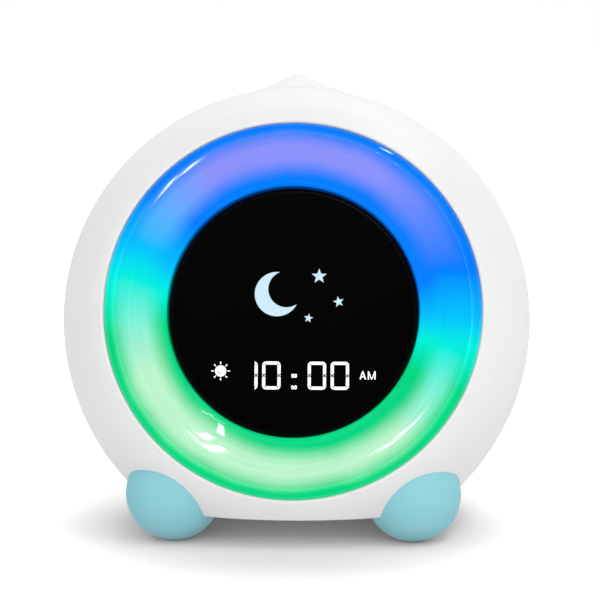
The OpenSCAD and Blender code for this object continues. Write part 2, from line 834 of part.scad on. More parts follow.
module foot() color([0.60, 0.85, 0.90]) difference() {
  foot_form();
  translate([-50, -100, -100]) cube([100, 200, 100 + foot_flat]);
  pad_form(0.1, -1, pad_t);
  for (y = foot_screws_y) translate([0, y, 0]) {
    cylinder(r = m3[1] + 0.3, h = foot_sink);
    cylinder(r = m3[0] + 0.2, h = foot_r + 4);
  }
}

module body_block() {
  intersection() {
    face() rotate_extrude() polygon(shell_outline());
    above(belly_z);
  }
}

module foot_left() difference() {
  translate([-foot_x, body_y, 0]) foot();
  body_block();
}

module foot_right() difference() {
  translate([foot_x, body_y, 0]) foot();
  body_block();
}

module foot_pads() color([0.3, 0.5, 0.55]) at_feet() pad_form(0, 0, pad_t);

module foot_screws() color("silver") at_feet() for (y = foot_screws_y)
  translate([0, y, 0]) screw(m3, foot_sink, 11);

front_shell();
rear_shell();
light_ring();
display_window();
window_frame();
reflector_tray();
ring_board();
ring_lamps();
digit_block();
display_glass();
display_board();
main_board();
board_chips();
board_capacitors();
board_connectors();
display_ribbon();
tray_screws();
display_screws();
board_screws();
speaker_frame();
speaker_cone();
speaker_magnet();
speaker_clamp();
speaker_screws();
button_board();
button_switches();
button_1();
button_2();
button_3();
button_4();
button_5();
button_6();
button_screws();
usb_board();
usb_socket();
battery_box();
battery_cell_1();
battery_cell_2();
battery_cell_3();
battery_springs();
battery_contacts();
battery_screws();
battery_door();
door_screw();
case_screws();
foot_left();
foot_right();
foot_pads();
foot_screws();
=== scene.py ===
# %% [markdown]
# # A bedside clock with a ring of light
#
# The clock is a round, gloss white moulded case that leans back on two aqua feet. On its face a wide
# milky ring glows in colours round a black window, where the time and a few small signs shine. The packed
# model is the fixed frame: it says where every piece sits, and nothing here moves or resizes it.

# %% Load the frame
import math

import bmesh
import bpy
from mathutils import Matrix, Vector
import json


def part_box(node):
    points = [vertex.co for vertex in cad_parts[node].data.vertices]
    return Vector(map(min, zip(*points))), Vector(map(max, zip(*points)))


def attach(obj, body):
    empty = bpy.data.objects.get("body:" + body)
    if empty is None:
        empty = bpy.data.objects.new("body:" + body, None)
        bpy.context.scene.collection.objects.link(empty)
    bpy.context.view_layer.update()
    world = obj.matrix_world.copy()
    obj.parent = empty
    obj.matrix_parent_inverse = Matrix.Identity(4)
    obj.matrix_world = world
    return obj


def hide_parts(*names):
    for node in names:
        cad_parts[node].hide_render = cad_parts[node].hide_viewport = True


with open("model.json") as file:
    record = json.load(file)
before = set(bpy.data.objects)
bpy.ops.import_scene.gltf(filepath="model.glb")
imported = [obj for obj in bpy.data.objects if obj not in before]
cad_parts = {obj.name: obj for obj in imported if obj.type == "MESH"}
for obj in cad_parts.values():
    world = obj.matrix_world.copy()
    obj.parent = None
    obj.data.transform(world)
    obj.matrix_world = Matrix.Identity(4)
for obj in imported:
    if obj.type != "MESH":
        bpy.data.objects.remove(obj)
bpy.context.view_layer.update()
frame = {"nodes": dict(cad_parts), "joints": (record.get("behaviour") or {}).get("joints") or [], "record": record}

nodes = frame["nodes"]
scene = bpy.context.scene
scene.view_settings.view_transform = "Standard"

# %% [markdown]
# ## The face's own axes
#
# Everything round on this clock turns about one axis that points out of the leaning face. It is easier to
# draw such pieces upright, in millimetres, with x to the right, v up the face and h out of it, and to
# place them with one matrix. The lean is read from a button of the frame, because a button is pressed
# along that axis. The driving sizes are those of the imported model, repeated here so that every curve can
# be drawn smoothly.

# %% Driving sizes, in millimetres
MM = 0.001
BODY_R = 80.0
BAND_H = 22.0
FRONT_ROUND = 30.0
BACK_ROUND = 34.0
BELLY_Z = 9.6
PEAK_RISE = 6.0
PEAK_TIP = 4.0
PEAK_SLOPE = math.radians(29)
PEAK_FOOT = 19.0
PEAK_SAG = 0.4
PEAK_RIM = 0.05
WALL = 2.4
RING_R = 62.1
RING_SWELL = 8.0
RING_FLANK = 3.7
RING_WALL = 2.0
RING_LIP = 2.3
RING_STEP = 1.0
WINDOW_R = 41.4
WINDOW_T = 2.5
WINDOW_SINK = 8.7
WINDOW_ROUND = 1.2
GAP = 0.3
MOUTH_ROUND = 0.8

# %% Heights along the face's axis


def around(centre, radius, angle):
    """A point on a circle, as (radius, height) of a turned profile."""
    return (centre[0] + radius * math.cos(angle), centre[1] + radius * math.sin(angle))


band_angle = math.asin(BAND_H / BODY_R)
FRONT_C = around((0, 0), BODY_R - FRONT_ROUND, band_angle)
BACK_C = around((0, 0), BODY_R - BACK_ROUND, -band_angle)
MOUTH_R = RING_R + GAP
FRONT_H = FRONT_C[1] + math.sqrt(FRONT_ROUND**2 - (MOUTH_R - FRONT_C[0]) ** 2)
BACK_H = BACK_C[1] - BACK_ROUND
SEAT_H = FRONT_H - 3
WINDOW_FRONT = FRONT_H - WINDOW_SINK
WINDOW_H = WINDOW_FRONT - WINDOW_T
RING_IN = WINDOW_R + GAP
CREST_R = RING_R - RING_FLANK
CREST_H = WINDOW_FRONT + RING_STEP + RING_SWELL
print("front", round(FRONT_H, 2), "window", round(WINDOW_FRONT, 2), "back", round(BACK_H, 2))

# %% Place of the face in the frame
press = next(joint for joint in frame["joints"] if joint["name"] == "button_1_press")
out_of_face = Vector(press["axis"]).normalized()
lean = math.asin(out_of_face.z)
BOARD_H = WINDOW_H - 4.3
board_low, board_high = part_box("ring_board")
face_origin = (board_low + board_high) / 2 - out_of_face * BOARD_H * MM
FACE = (
    Matrix.Translation(face_origin)
    @ Matrix.Rotation(math.pi / 2 - lean, 4, "X")
    @ Matrix.Scale(MM, 4)
)
print("the face leans back", round(math.degrees(lean), 2), "degrees")
print("its axis passes", [round(c / MM, 2) for c in face_origin], "mm")

# %% [markdown]
# ## The camera
#
# A long lens, about 0.9 m away and a little above the middle, shows the clock nearly flat, as in a
# catalogue. The whole picture is 36 mm of film wide, and one radian of view takes so many pixels of it:
# that gives the lens. The camera aims a few pixels beside the middle of the face.

# %% Camera
CAMERA_UP = math.radians(7)
CAMERA_RIGHT = math.radians(2)
CAMERA_DISTANCE = 0.9
FILM_WIDTH = 36
PIXELS = 600
PIXELS_PER_RADIAN = 2616
AIM = (3.25, 20.15)

to_camera = Vector((
    math.sin(CAMERA_RIGHT) * math.cos(CAMERA_UP),
    -math.cos(CAMERA_RIGHT) * math.cos(CAMERA_UP),
    math.sin(CAMERA_UP)))
camera_right = Vector((math.cos(CAMERA_RIGHT), math.sin(CAMERA_RIGHT), 0))
camera_up = to_camera.cross(camera_right)
pixel = CAMERA_DISTANCE / PIXELS_PER_RADIAN
aim = face_origin + camera_right * AIM[0] * pixel + camera_up * AIM[1] * pixel

camera_data = bpy.data.cameras.new("camera")
camera_data.sensor_width = FILM_WIDTH
camera_data.lens = PIXELS_PER_RADIAN / PIXELS * FILM_WIDTH
camera = bpy.data.objects.new("camera", camera_data)
scene.collection.objects.link(camera)
camera.location = aim + to_camera * CAMERA_DISTANCE
camera.rotation_euler = to_camera.to_track_quat("Z", "Y").to_euler()
scene.camera = camera
print("lens", round(camera_data.lens, 1), "mm")

# %% [markdown]
# ## Light and backdrop
#
# The studio is a white floor in front of a white world. Matt surfaces get an even, softer light from it.
# Mirror rays find the room behind the camera dark and the backdrop white, as in a real studio: the gloss
# stays deep in front and the rims stay light. The world, the materials and the growing pieces further
# down are all trees of nodes, so a few small functions come first that draw such trees.

# %% Nodes of any tree


def set_inputs(tree, node, inputs):
    """Gives some inputs of a node, by name or number, a value or the output of another node."""
    for label, value in inputs.items():
        if isinstance(value, bpy.types.NodeSocket):
            tree.links.new(value, node.inputs[label])
        else:
            node.inputs[label].default_value = value


def add_node(tree, kind, inputs, **options):
    """A new node of a tree, with its options and inputs set."""
    node = tree.nodes.new(kind)
    for option, choice in options.items():
        setattr(node, option, choice)
    set_inputs(tree, node, inputs)
    return node


def new_material(name):
    """A material with an empty tree, as (material, tree)."""
    material = bpy.data.materials.new(name)
    material.use_nodes = True
    material.node_tree.nodes.clear()
    return material, material.node_tree


# %% Sums, steps and mixes in a shader's tree; each term is a number or an output


def calculate(tree, operation, *terms):
    """One sum."""
    return add_node(tree, "ShaderNodeMath", dict(enumerate(terms)), operation=operation).outputs[0]


def smooth_step(tree, value, start, end, low=0.0, high=1.0, kind="SMOOTHSTEP"):
    """Goes softly from low to high while the value goes from start to end."""
    terms = dict(enumerate((value, start, end, low, high)))
    return add_node(tree, "ShaderNodeMapRange", terms, interpolation_type=kind).outputs["Result"]


def ray_kind(tree, kind):
    """1 for rays of one kind, such as "Is Camera Ray", and 0 for the others."""
    return tree.nodes.new("ShaderNodeLightPath").outputs[kind]


def background(tree, strength):
    """A white background of the world."""
    white = {"Color": (1, 1, 1, 1), "Strength": strength}
    return add_node(tree, "ShaderNodeBackground", white).outputs[0]


def mix_shaders(tree, factor, first, second):
    """The first shader where the factor is 0, and the second where it is 1."""
    return add_node(tree, "ShaderNodeMixShader", {0: factor, 1: first, 2: second}).outputs[0]


# %% World
AMBIENT = 0.665
DARK_ROOM = 0.03
BACKDROP_FROM, BACKDROP_TO = -0.1, 0.6

world = bpy.data.worlds.new("studio")
scene.world = world
world.use_nodes = True
tree = world.node_tree
tree.nodes.clear()
direction = tree.nodes.new("ShaderNodeTexCoord").outputs["Generated"]
backwards = add_node(tree, "ShaderNodeSeparateXYZ", {"Vector": direction}).outputs["Y"]
mirrored = smooth_step(tree, backwards, BACKDROP_FROM, BACKDROP_TO, DARK_ROOM, 1.0)
room = mix_shaders(tree, ray_kind(tree, "Is Glossy Ray"),
                   background(tree, AMBIENT), background(tree, mirrored))
seen = calculate(tree, "MAXIMUM", ray_kind(tree, "Is Camera Ray"), ray_kind(tree, "Is Transmission Ray"))
add_node(tree, "ShaderNodeOutputWorld", {"Surface": mix_shaders(tree, seen, room, background(tree, 1.0))})
print("world of", len(tree.nodes), "nodes")

# %% [markdown]
# ## Lamps
#
# All lamps are flat panels that face the clock. Those that show in the gloss give the highlights: the
# panes of a window up in front with a roof window beside them, two slim strips a little to the left, and
# a pair of strips under the ceiling at the right. The soft ones don't show in the gloss: one at either
# side, one behind that throws the clock's shadow forwards, and a low card in front that lightens the
# underside.

# %% Panels
LAMP_DISTANCE = 1.0
DAYLIGHT = (1.0, 0.99, 0.96)


def panel(name, azimuth, elevation, size, radiance, turn=0, mirrored=True):
    """A flat lamp that faces the clock, all in degrees as seen from it; azimuth 0 is the camera's side."""
    a, e = math.radians(azimuth), math.radians(elevation)
    away = Vector((math.sin(a) * math.cos(e), -math.cos(a) * math.cos(e), math.sin(e)))
    data = bpy.data.lights.new(name, "AREA")
    data.shape = "RECTANGLE"
    data.size, data.size_y = [2 * LAMP_DISTANCE * math.tan(math.radians(s / 2)) for s in size]
    data.energy = radiance * math.pi * data.size * data.size_y
    data.color = DAYLIGHT if mirrored else (1, 1, 1)
    lamp = bpy.data.objects.new(name, data)
    scene.collection.objects.link(lamp)
    lamp.location = face_origin + away * LAMP_DISTANCE
    facing = away.to_track_quat("Z", "Y") @ Matrix.Rotation(math.radians(turn), 3, "Z").to_quaternion()
    lamp.rotation_euler = facing.to_euler()
    lamp.visible_camera = False
    lamp.visible_glossy = mirrored


panel("window_pane_tall", 5.9, 30.8, (1.3, 12.5), 14, turn=-22)
panel("window_pane_wide", 12.8, 36.2, (1.6, 11.5), 14, turn=-32)
panel("window_pane_small", 6.3, 27.2, (1.0, 2.0), 14, turn=-36)
panel("roof_window", 45, 59.2, (2.4, 28), 18, turn=-61)
panel("strip_left", -7.4, 22.2, (0.5, 4.3), 24, turn=30)
panel("strip_left_low", -6.5, 22.9, (0.5, 4.1), 24, turn=25)
panel("ceiling_strip", 98, 58, (36, 0.7), 16)
panel("ceiling_strip_far", 116, 64, (36, 0.7), 16)
panel("soft_light_left", -95, 50, (40, 40), 0.22, mirrored=False)
panel("soft_light_right", 100, 22, (40, 36), 0.42, mirrored=False)
panel("behind_the_clock", 180, 52, (50, 22), 2.4, mirrored=False)
panel("card_in_front", 0, 5, (80, 12), 3.1, mirrored=False)
print("lamps:", len(bpy.data.lights))

# %% [markdown]
# ## Floor
#
# The floor is matt and white and meets a white world, so no horizon should show. Under the clock its
# shade is partly real and partly painted. Farther off the floor glows by itself, for the camera alone, until
# it is as white as the world; the distance is taken in an oval round the clock, narrower from side to side,
# so the dim oval near the clock, where the glow is low, is painted shade.

# %% Floor
FLOOR_HALF = 6.0
FLOOR_WHITE = 0.84
PAINTED_SHADE_OVAL = (1.2, 1, 1)
GLOW_FROM, GLOW_FULL = 0.058, 0.175
GLOW_NEAR = 0.05


def floor_material():
    """Matt white, with a glow for the camera that grows with the distance from the clock; the dim floor near the
    clock, where the glow is low, is painted shade.
    """
    material, tree = new_material("studio_floor")
    white = (FLOOR_WHITE, FLOOR_WHITE, FLOOR_WHITE, 1)
    matt = add_node(tree, "ShaderNodeBsdfDiffuse", {"Color": white}).outputs[0]
    place = tree.nodes.new("ShaderNodeTexCoord").outputs["Object"]
    oval_of_painted_shade = add_node(tree, "ShaderNodeVectorMath", {0: place, 1: PAINTED_SHADE_OVAL}, operation="MULTIPLY")
    distance = add_node(tree, "ShaderNodeVectorMath", {0: oval_of_painted_shade.outputs["Vector"]}, operation="LENGTH")
    # painted shade: the glow stays low in the oval round the clock, so the floor there stays dim
    strength = smooth_step(tree, distance.outputs["Value"], GLOW_FROM, GLOW_FULL, GLOW_NEAR, 1.0)
    glow = add_node(tree, "ShaderNodeEmission", {"Strength": strength}).outputs[0]
    both = add_node(tree, "ShaderNodeAddShader", {0: matt, 1: glow}).outputs[0]
    lit = mix_shaders(tree, ray_kind(tree, "Is Camera Ray"), matt, both)
    add_node(tree, "ShaderNodeOutputMaterial", {"Surface": lit})
    return material


floor_mesh = bpy.data.meshes.new("floor")
sides = ((-1, -1), (1, -1), (1, 1), (-1, 1))
floor_mesh.from_pydata([(x * FLOOR_HALF, y * FLOOR_HALF, 0) for x, y in sides], [], [(0, 1, 2, 3)])
floor_mesh.materials.append(floor_material())
floor = bpy.data.objects.new("floor", floor_mesh)
scene.collection.objects.link(floor)
floor.visible_glossy = False
print("floor", 2 * FLOOR_HALF, "m wide")

# %% [markdown]
# ## Finishes
#
# Nearly every piece is moulded plastic, so one recipe serves them: a colour that drifts a little, a
# roughness that drifts too, and a fine grain in the normal. What is the same everywhere is set on the
# shader itself. The patterns read Object coordinates, which agree between pieces because every piece sits
# at the origin.

# %% Recipe for a moulded or painted surface


def shader_of(name):
    """A new material with one Principled shader, as (material, tree, shader)."""
    material, tree = new_material(name)
    shader = tree.nodes.new("ShaderNodeBsdfPrincipled")
    add_node(tree, "ShaderNodeOutputMaterial", {"Surface": shader.outputs["BSDF"]})
    return material, tree, shader


def noise_between(tree, scale, low, high, detail=2.0, vector=None):
    """Noise over the object, or over a vector of the caller's, spread between two values."""
    if vector is None:
        vector = tree.nodes.new("ShaderNodeTexCoord").outputs["Object"]
    noise = add_node(tree, "ShaderNodeTexNoise", {"Vector": vector, "Scale": scale, "Detail": detail})
    return smooth_step(tree, noise.outputs["Fac"], 0.3, 0.7, low, high, "LINEAR")


def ramp_between(tree, factor, first, last, stops=()):
    """A colour ramp whose first and last elements are given apart from the stops between them."""
    ramp = add_node(tree, "ShaderNodeValToRGB", {"Fac": factor})
    elements = ramp.color_ramp.elements
    elements[0].color, elements[1].color = first, last
    for position, colour in stops:
        elements.new(position).color = colour
    return ramp.outputs["Color"]


def drifting_colour(tree, colour, drift, scale):
    """A colour that wanders a little between two shades."""
    shades = [[min(c * (1 + side * drift), 1) for c in colour] + [1] for side in (-1, 1)]
    return ramp_between(tree, noise_between(tree, scale, 0, 1), *shades)


def grain(tree, scale, depth):
    """Normal of a fine unevenness of the surface, with its depth in metres."""
    height = noise_between(tree, scale, 0, 1, 4.0)
    bump = add_node(tree, "ShaderNodeBump", {"Distance": depth, "Strength": 1.0, "Height": height})
    return bump.outputs["Normal"]


def moulded(name, colour, rough, drift=0.015, scale=25, grain_scale=900, depth=0.000004,
            metallic=0.0, specular=0.5, coat=0.0):
    """The recipe for one finish, as a material."""
    material, tree, shader = shader_of(name)
    set_inputs(tree, shader, {
        "Base Color": drifting_colour(tree, colour, drift, scale),
        "Roughness": noise_between(tree, scale * 3, rough * 0.88, rough * 1.12),
        "Normal": grain(tree, grain_scale, depth), "Metallic": metallic,
        "Specular IOR Level": specular, "Coat Weight": coat, "Coat Roughness": 0.06})
    return material


# %% Recipe for a colour that doesn't tint its neighbours


def blend_colours(tree, factor, first, second):
    """The first colour where the factor is 0, and the second where it is 1."""
    # this node's sockets for colours come after those for numbers and vectors
    terms = {0: factor, 6: first, 7: second}
    return add_node(tree, "ShaderNodeMix", terms, data_type="RGBA").outputs[2]


def neutral_bounce(material):
    """Sends plain grey light to other surfaces, so that the white floor beside the piece stays white."""
    tree = material.node_tree
    base_colour = tree.nodes["Principled BSDF"].inputs["Base Color"]
    painted = base_colour.links[0].from_socket
    plain = add_node(tree, "ShaderNodeRGBToBW", {"Color": painted}).outputs["Val"]
    tree.links.new(blend_colours(tree, ray_kind(tree, "Is Diffuse Ray"), painted, plain), base_colour)


# %% Finishes of the case
shell_white = moulded("shell_white", (0.80, 0.80, 0.805), 0.34, specular=0.35)
foot_aqua = moulded("foot_aqua", (0.265, 0.60, 0.67), 0.5, drift=0.02, specular=0.15)
neutral_bounce(foot_aqua)
pad_rubber = moulded("pad_rubber", (0.09, 0.20, 0.24), 0.85, depth=0.00003, grain_scale=700)
inner_white = moulded("inner_white", (0.78, 0.78, 0.77), 0.5)
frame_black = moulded("frame_black", (0.012, 0.012, 0.014), 0.45)
screw_steel = moulded("screw_steel", (0.55, 0.55, 0.57), 0.32, metallic=1.0, drift=0.06, scale=300)
socket_steel = moulded("socket_steel", (0.62, 0.62, 0.64), 0.26, metallic=1.0, drift=0.05, scale=300)
print("the feet's shader has", len(foot_aqua.node_tree.nodes), "nodes")

# %% Finishes of the inner pieces
board_green = moulded("board_green", (0.02, 0.13, 0.06), 0.35, drift=0.15, scale=120, coat=0.4)
board_white = moulded("board_white", (0.70, 0.72, 0.70), 0.4, drift=0.05, scale=120)
lamp_yellow = moulded("lamp_yellow", (0.85, 0.72, 0.30), 0.4, drift=0.1, scale=200)
panel_dark = moulded("panel_dark", (0.02, 0.02, 0.025), 0.2)
chip_black = moulded("chip_black", (0.02, 0.02, 0.022), 0.6, depth=0.00001)
capacitor_blue = moulded("capacitor_blue", (0.03, 0.05, 0.12), 0.35)
connector_cream = moulded("connector_cream", (0.75, 0.72, 0.60), 0.5)
ribbon_grey = moulded("ribbon_grey", (0.45, 0.45, 0.46), 0.5)
speaker_metal = moulded("speaker_metal", (0.12, 0.12, 0.13), 0.4, metallic=0.6)
cone_black = moulded("cone_black", (0.03, 0.03, 0.03), 0.8, depth=0.00002, grain_scale=500)
magnet_grey = moulded("magnet_grey", (0.10, 0.10, 0.105), 0.6)
print_grey = moulded("print_grey", (0.30, 0.31, 0.33), 0.5)
contact_nickel = moulded("contact_nickel", (0.60, 0.58, 0.53), 0.3, metallic=1.0, drift=0.05)
cell_blue = moulded("cell_blue", (0.05, 0.15, 0.42), 0.3, drift=0.05, coat=0.3)

# %% Which node gets which finish
node_finishes = {
    shell_white: ["front_shell", "rear_shell", "battery_door", "button_1", "button_2", "button_3",
                  "button_4", "button_5", "button_6"],
    inner_white: ["reflector_tray", "digit_block", "speaker_clamp", "battery_box"],
    frame_black: ["window_frame", "button_switches", "display_window"],
    board_green: ["display_board", "main_board", "button_board", "usb_board"],
    board_white: ["ring_board"],
    lamp_yellow: ["ring_lamps"],
    panel_dark: ["display_glass"],
    chip_black: ["board_chips"],
    capacitor_blue: ["board_capacitors"],
    connector_cream: ["board_connectors"],
    ribbon_grey: ["display_ribbon"],
    speaker_metal: ["speaker_frame"],
    cone_black: ["speaker_cone"],
    magnet_grey: ["speaker_magnet"],
    contact_nickel: ["battery_springs", "battery_contacts"],
    cell_blue: ["battery_cell_1", "battery_cell_2", "battery_cell_3"],
    socket_steel: ["usb_socket"],
    screw_steel: ["tray_screws", "display_screws", "board_screws", "speaker_screws", "button_screws",
                  "battery_screws", "door_screw", "case_screws", "foot_screws"],
    foot_aqua: ["foot_left", "foot_right"],
    pad_rubber: ["foot_pads"],
}
for finish, names in node_finishes.items():
    for name in names:
        for place in nodes[name].material_slots:
            place.material = finish
left_out = sorted(set(nodes) - {name for names in node_finishes.values() for name in names})
print("nodes without a finish so far:", left_out)

# %% Signs of the window


def shining(name, colour, strength):
    """A sign that shines by itself, a little uneven, as a light guide is."""
    material, tree, shader = shader_of(name)
    set_inputs(tree, shader, {
        "Base Color": [c * 0.3 for c in colour] + [1], "Emission Color": [*colour, 1],
        "Emission Strength": noise_between(tree, 900, strength * 0.94, strength * 1.06),
        "Roughness": 0.4, "Specular IOR Level": 0.1})
    return material


sign_white = shining("sign_white", (0.97, 0.98, 1.0), 1.0)
sign_pale = shining("sign_pale", (0.50, 0.655, 0.76), 0.95)
print("signs:", sign_white.name, "and", sign_pale.name)

# %% Angle and distance on the face


def angle_and_radius(tree):
    """Where a point lies on the face: its angle from the right in radians, and its metres from the axis."""
    place = tree.nodes.new("ShaderNodeTexCoord").outputs["Object"]
    upright = {"Vector": place, "Location": face_origin, "Rotation": (math.pi / 2 - lean, 0, 0)}
    onto_face = add_node(tree, "ShaderNodeMapping", upright, vector_type="TEXTURE")
    split = add_node(tree, "ShaderNodeSeparateXYZ", {"Vector": onto_face.outputs["Vector"]})
    x, v = split.outputs["X"], split.outputs["Y"]
    squares = calculate(tree, "ADD", calculate(tree, "MULTIPLY", x, x), calculate(tree, "MULTIPLY", v, v))
    return calculate(tree, "ARCTAN2", v, x), calculate(tree, "SQRT", squares)


# %% Window: deep black, its rounded rim glossier than the flat
WINDOW_FLAT_R = 39.8 * MM
WINDOW_RIM_R = 40.8 * MM
FLAT_GLOSS, RIM_GLOSS = 0.02, 0.3

window_black, tree, shader = shader_of("window_black")
radius = angle_and_radius(tree)[1]
set_inputs(tree, shader, {
    "Base Color": drifting_colour(tree, (0.0012, 0.0012, 0.0015), 0.2, 20),
    "Roughness": noise_between(tree, 60, 0.26, 0.32),
    "Specular IOR Level": smooth_step(tree, radius, WINDOW_FLAT_R, WINDOW_RIM_R, FLAT_GLOSS, RIM_GLOSS)})
print(window_black.name, "has", len(tree.nodes), "nodes")

# %% [markdown]
# ## The glow of the ring
#
# Behind the milky ring sit two dozen lamps whose colours melt into each other round the face: green
# below, blue at the right, violet at the top and aqua at the left. Across the ring the glow is pale over
# the lamps and deeper at both edges. So six plain colours are set at a few angles, once for the edges and
# once for the middle, and the distance from the axis mixes the two. Moulded milky plastic is never quite
# even, so noise bends the borders and mottles the light. Surfaces beside the ring get only a small share
# of it, or it would stain the white case.

# %% Lamp colours
GREEN, AQUA, SKY = (0, 215, 130), (0, 240, 220), (0, 190, 255)
BLUE, VIOLET, MINT = (0, 125, 255), (140, 145, 250), (190, 245, 205)

# %% Stops round the face, as (degrees anticlockwise from the right, colour)
SEAM_ANGLE = 262.0
EDGES = [(262, GREEN), (335, GREEN), (348, AQUA), (358, SKY), (12, BLUE), (140, BLUE), (160, SKY),
         (171, AQUA), (186, GREEN)]
MIDDLE = [(262, MINT), (310, MINT), (345, AQUA), (358, SKY), (15, BLUE), (60, VIOLET), (120, VIOLET),
          (157, SKY), (169, AQUA), (205, MINT)]
print("stops:", len(EDGES), len(MIDDLE))

# %% Ramps of colour


def linear(colour):
    """An sRGB colour of 0 to 255 as the shader wants it."""
    return [c / 255 / 12.92 if c <= 10 else ((c / 255 + 0.055) / 1.055) ** 2.4 for c in colour] + [1]


def grey(level):
    """A grey, for a ramp that carries a number."""
    return [level, level, level, 1]


def round_the_face(degrees):
    """Share of a full turn between the seam and an angle."""
    return (degrees - SEAM_ANGLE) % 360 / 360


def round_ramp(tree, turns, stops):
    """Colours round the face; the last one leads back to the first."""
    seam = linear(stops[0][1])
    between = [(round_the_face(degrees), linear(colour)) for degrees, colour in stops[1:]]
    return ramp_between(tree, turns, seam, seam, between)


# %% Angle and distance on the face, bent a little by noise
BEND = 0.03
SWAY = 0.6 * MM

ring_glow, tree, shader = shader_of("ring_glow")
angle, radius = angle_and_radius(tree)
bend = noise_between(tree, 55, -BEND, BEND, 3.0)
sway = noise_between(tree, 50, -SWAY, SWAY, 3.0)
bent_angle = calculate(tree, "SUBTRACT", calculate(tree, "ADD", angle, bend), math.radians(SEAM_ANGLE))
share_of_turn = calculate(tree, "DIVIDE", bent_angle, math.tau)
turns = calculate(tree, "FRACT", calculate(tree, "ADD", share_of_turn, 2.0))
bent_radius = calculate(tree, "ADD", radius, sway)
print("borders sway by", SWAY / MM, "mm")

# %% Mix the glow across the ring
PALE_FROM, PALE_TO = 42.5 * MM, 45.5 * MM
PALE_WIDTH = 7.5 * MM
EDGE_FROM, EDGE_TO = 53.9 * MM, 61.0 * MM
# where the pale middle starts between PALE_FROM (0) and PALE_TO (1), at some angles in degrees
PALE_STARTS = [(292, 1.0), (330, 1.0), (20, 0.3), (50, 0.48), (120, 0.48), (160, 0.15), (215, 0.0),
               (240, 0.2)]
PALE_AT_SEAM = 0.5

pale_stops = [(round_the_face(degrees), grey(share)) for degrees, share in PALE_STARTS]
pale_share = ramp_between(tree, turns, grey(PALE_AT_SEAM), grey(PALE_AT_SEAM), pale_stops)
pale_start = smooth_step(tree, pale_share, 0, 1, PALE_FROM, PALE_TO)
pale_end = calculate(tree, "ADD", pale_start, PALE_WIDTH)
edges, middle = [round_ramp(tree, turns, stops) for stops in (EDGES, MIDDLE)]
glow = blend_colours(tree, smooth_step(tree, bent_radius, pale_start, pale_end), edges, middle)
glow = blend_colours(tree, smooth_step(tree, bent_radius, EDGE_FROM, EDGE_TO), glow, edges)
print("pale middle", round(PALE_WIDTH / MM, 2), "mm wide")

# %% Fine marks: painted streaks of reflection round the ring, and mottles
REFLECTION_STREAKS_ROUND, REFLECTION_STREAKS_ACROSS = 9.0, 900.0
reflection_streak_place = add_node(tree, "ShaderNodeCombineXYZ", {
    "X": calculate(tree, "MULTIPLY", turns, REFLECTION_STREAKS_ROUND),
    "Y": calculate(tree, "MULTIPLY", radius, REFLECTION_STREAKS_ACROSS)})
# painted reflection: faint streaks round the ring that lift and lower the glow
painted_reflection_streaks = noise_between(tree, 1.0, 0.965, 1.035, 2.0, reflection_streak_place.outputs["Vector"])
mottle = noise_between(tree, 70, 0.975, 1.025, 3.0)
strength = calculate(tree, "MULTIPLY", painted_reflection_streaks, mottle)

# %% Painted shade and highlight over the bead near the rim, and painted shade at the foot of the inner wall
BEAD_FROM, BEAD_TO = 57.5 * MM, 62.5 * MM
# painted brightness at shares of the way from BEAD_FROM to BEAD_TO: a bright and a dark line for the bead and its
# step, and a darker lip
BEFORE_BEAD, BEHIND_BEAD = 0.8, 0.78
PAINTED_BEAD_LIGHT_AND_SHADE = [(0.10, 0.80), (0.19, 0.76), (0.24, 0.81), (0.35, 0.89), (0.48, 0.85), (0.58, 0.80)]
WALL_DARK, WALL_LIT = 41.5 * MM, 42.3 * MM
WALL_GLOW = 1.25

across_rim = smooth_step(tree, radius, BEAD_FROM, BEAD_TO, kind="LINEAR")
painted_bead_stops = [(share, grey(level)) for share, level in PAINTED_BEAD_LIGHT_AND_SHADE]
# painted light and shade of the bead and lip, multiplied into the glow below
rim = ramp_between(tree, across_rim, grey(BEFORE_BEAD), grey(BEHIND_BEAD), painted_bead_stops)
# painted shade: the glow fades to nothing at the foot of the inner wall, which lies in shade
painted_wall_shade = smooth_step(tree, radius, WALL_DARK, WALL_LIT, 0.0, WALL_GLOW)
strength = calculate(tree, "MULTIPLY", strength, rim)
strength = calculate(tree, "MULTIPLY", strength, painted_wall_shade)

# %% What the ring sends to its neighbours, and its gloss
HELD_BACK = 0.85
held_back = calculate(tree, "MULTIPLY", ray_kind(tree, "Is Diffuse Ray"), HELD_BACK)
spill = calculate(tree, "SUBTRACT", 1.0, held_back)
set_inputs(tree, shader, {
    "Emission Color": glow, "Emission Strength": calculate(tree, "MULTIPLY", strength, spill),
    "Base Color": (0.001, 0.004, 0.005, 1), "Specular IOR Level": 0.5,
    "Roughness": noise_between(tree, 90, 0.035, 0.055)})
nodes["light_ring"].material_slots[0].material = ring_glow
print(ring_glow.name, "has", len(tree.nodes), "nodes")

# %% [markdown]
# ## Helpers for pieces
#
# A piece is drawn in millimetres, on the face or in the clock's own axes, and placed by a matrix. Its
# faces are smoothed where they meet at a shallow angle, and it rides on its body. Turned pieces with a
# full front are spun in a plain loop. The ring, and what repeats or follows a line, is left to trees of
# Geometry Nodes: the first sweeps a profile round the axis, the second copies one shape onto marks, and a
# third, made with the battery bay, draws a wire along a line.

# %% Make a piece
WORLD = Matrix.Scale(MM, 4)
BACK = FACE @ Matrix.Rotation(math.pi, 4, "Y")
# names of the nodes that a drawn piece already stands for
dressed = set()


def arc(centre, radius, start, end, steps):
    """Points of a round stretch, angles in degrees."""
    turn = (end - start) / steps
    return [around(centre, radius, math.radians(start + turn * k)) for k in range(steps + 1)]


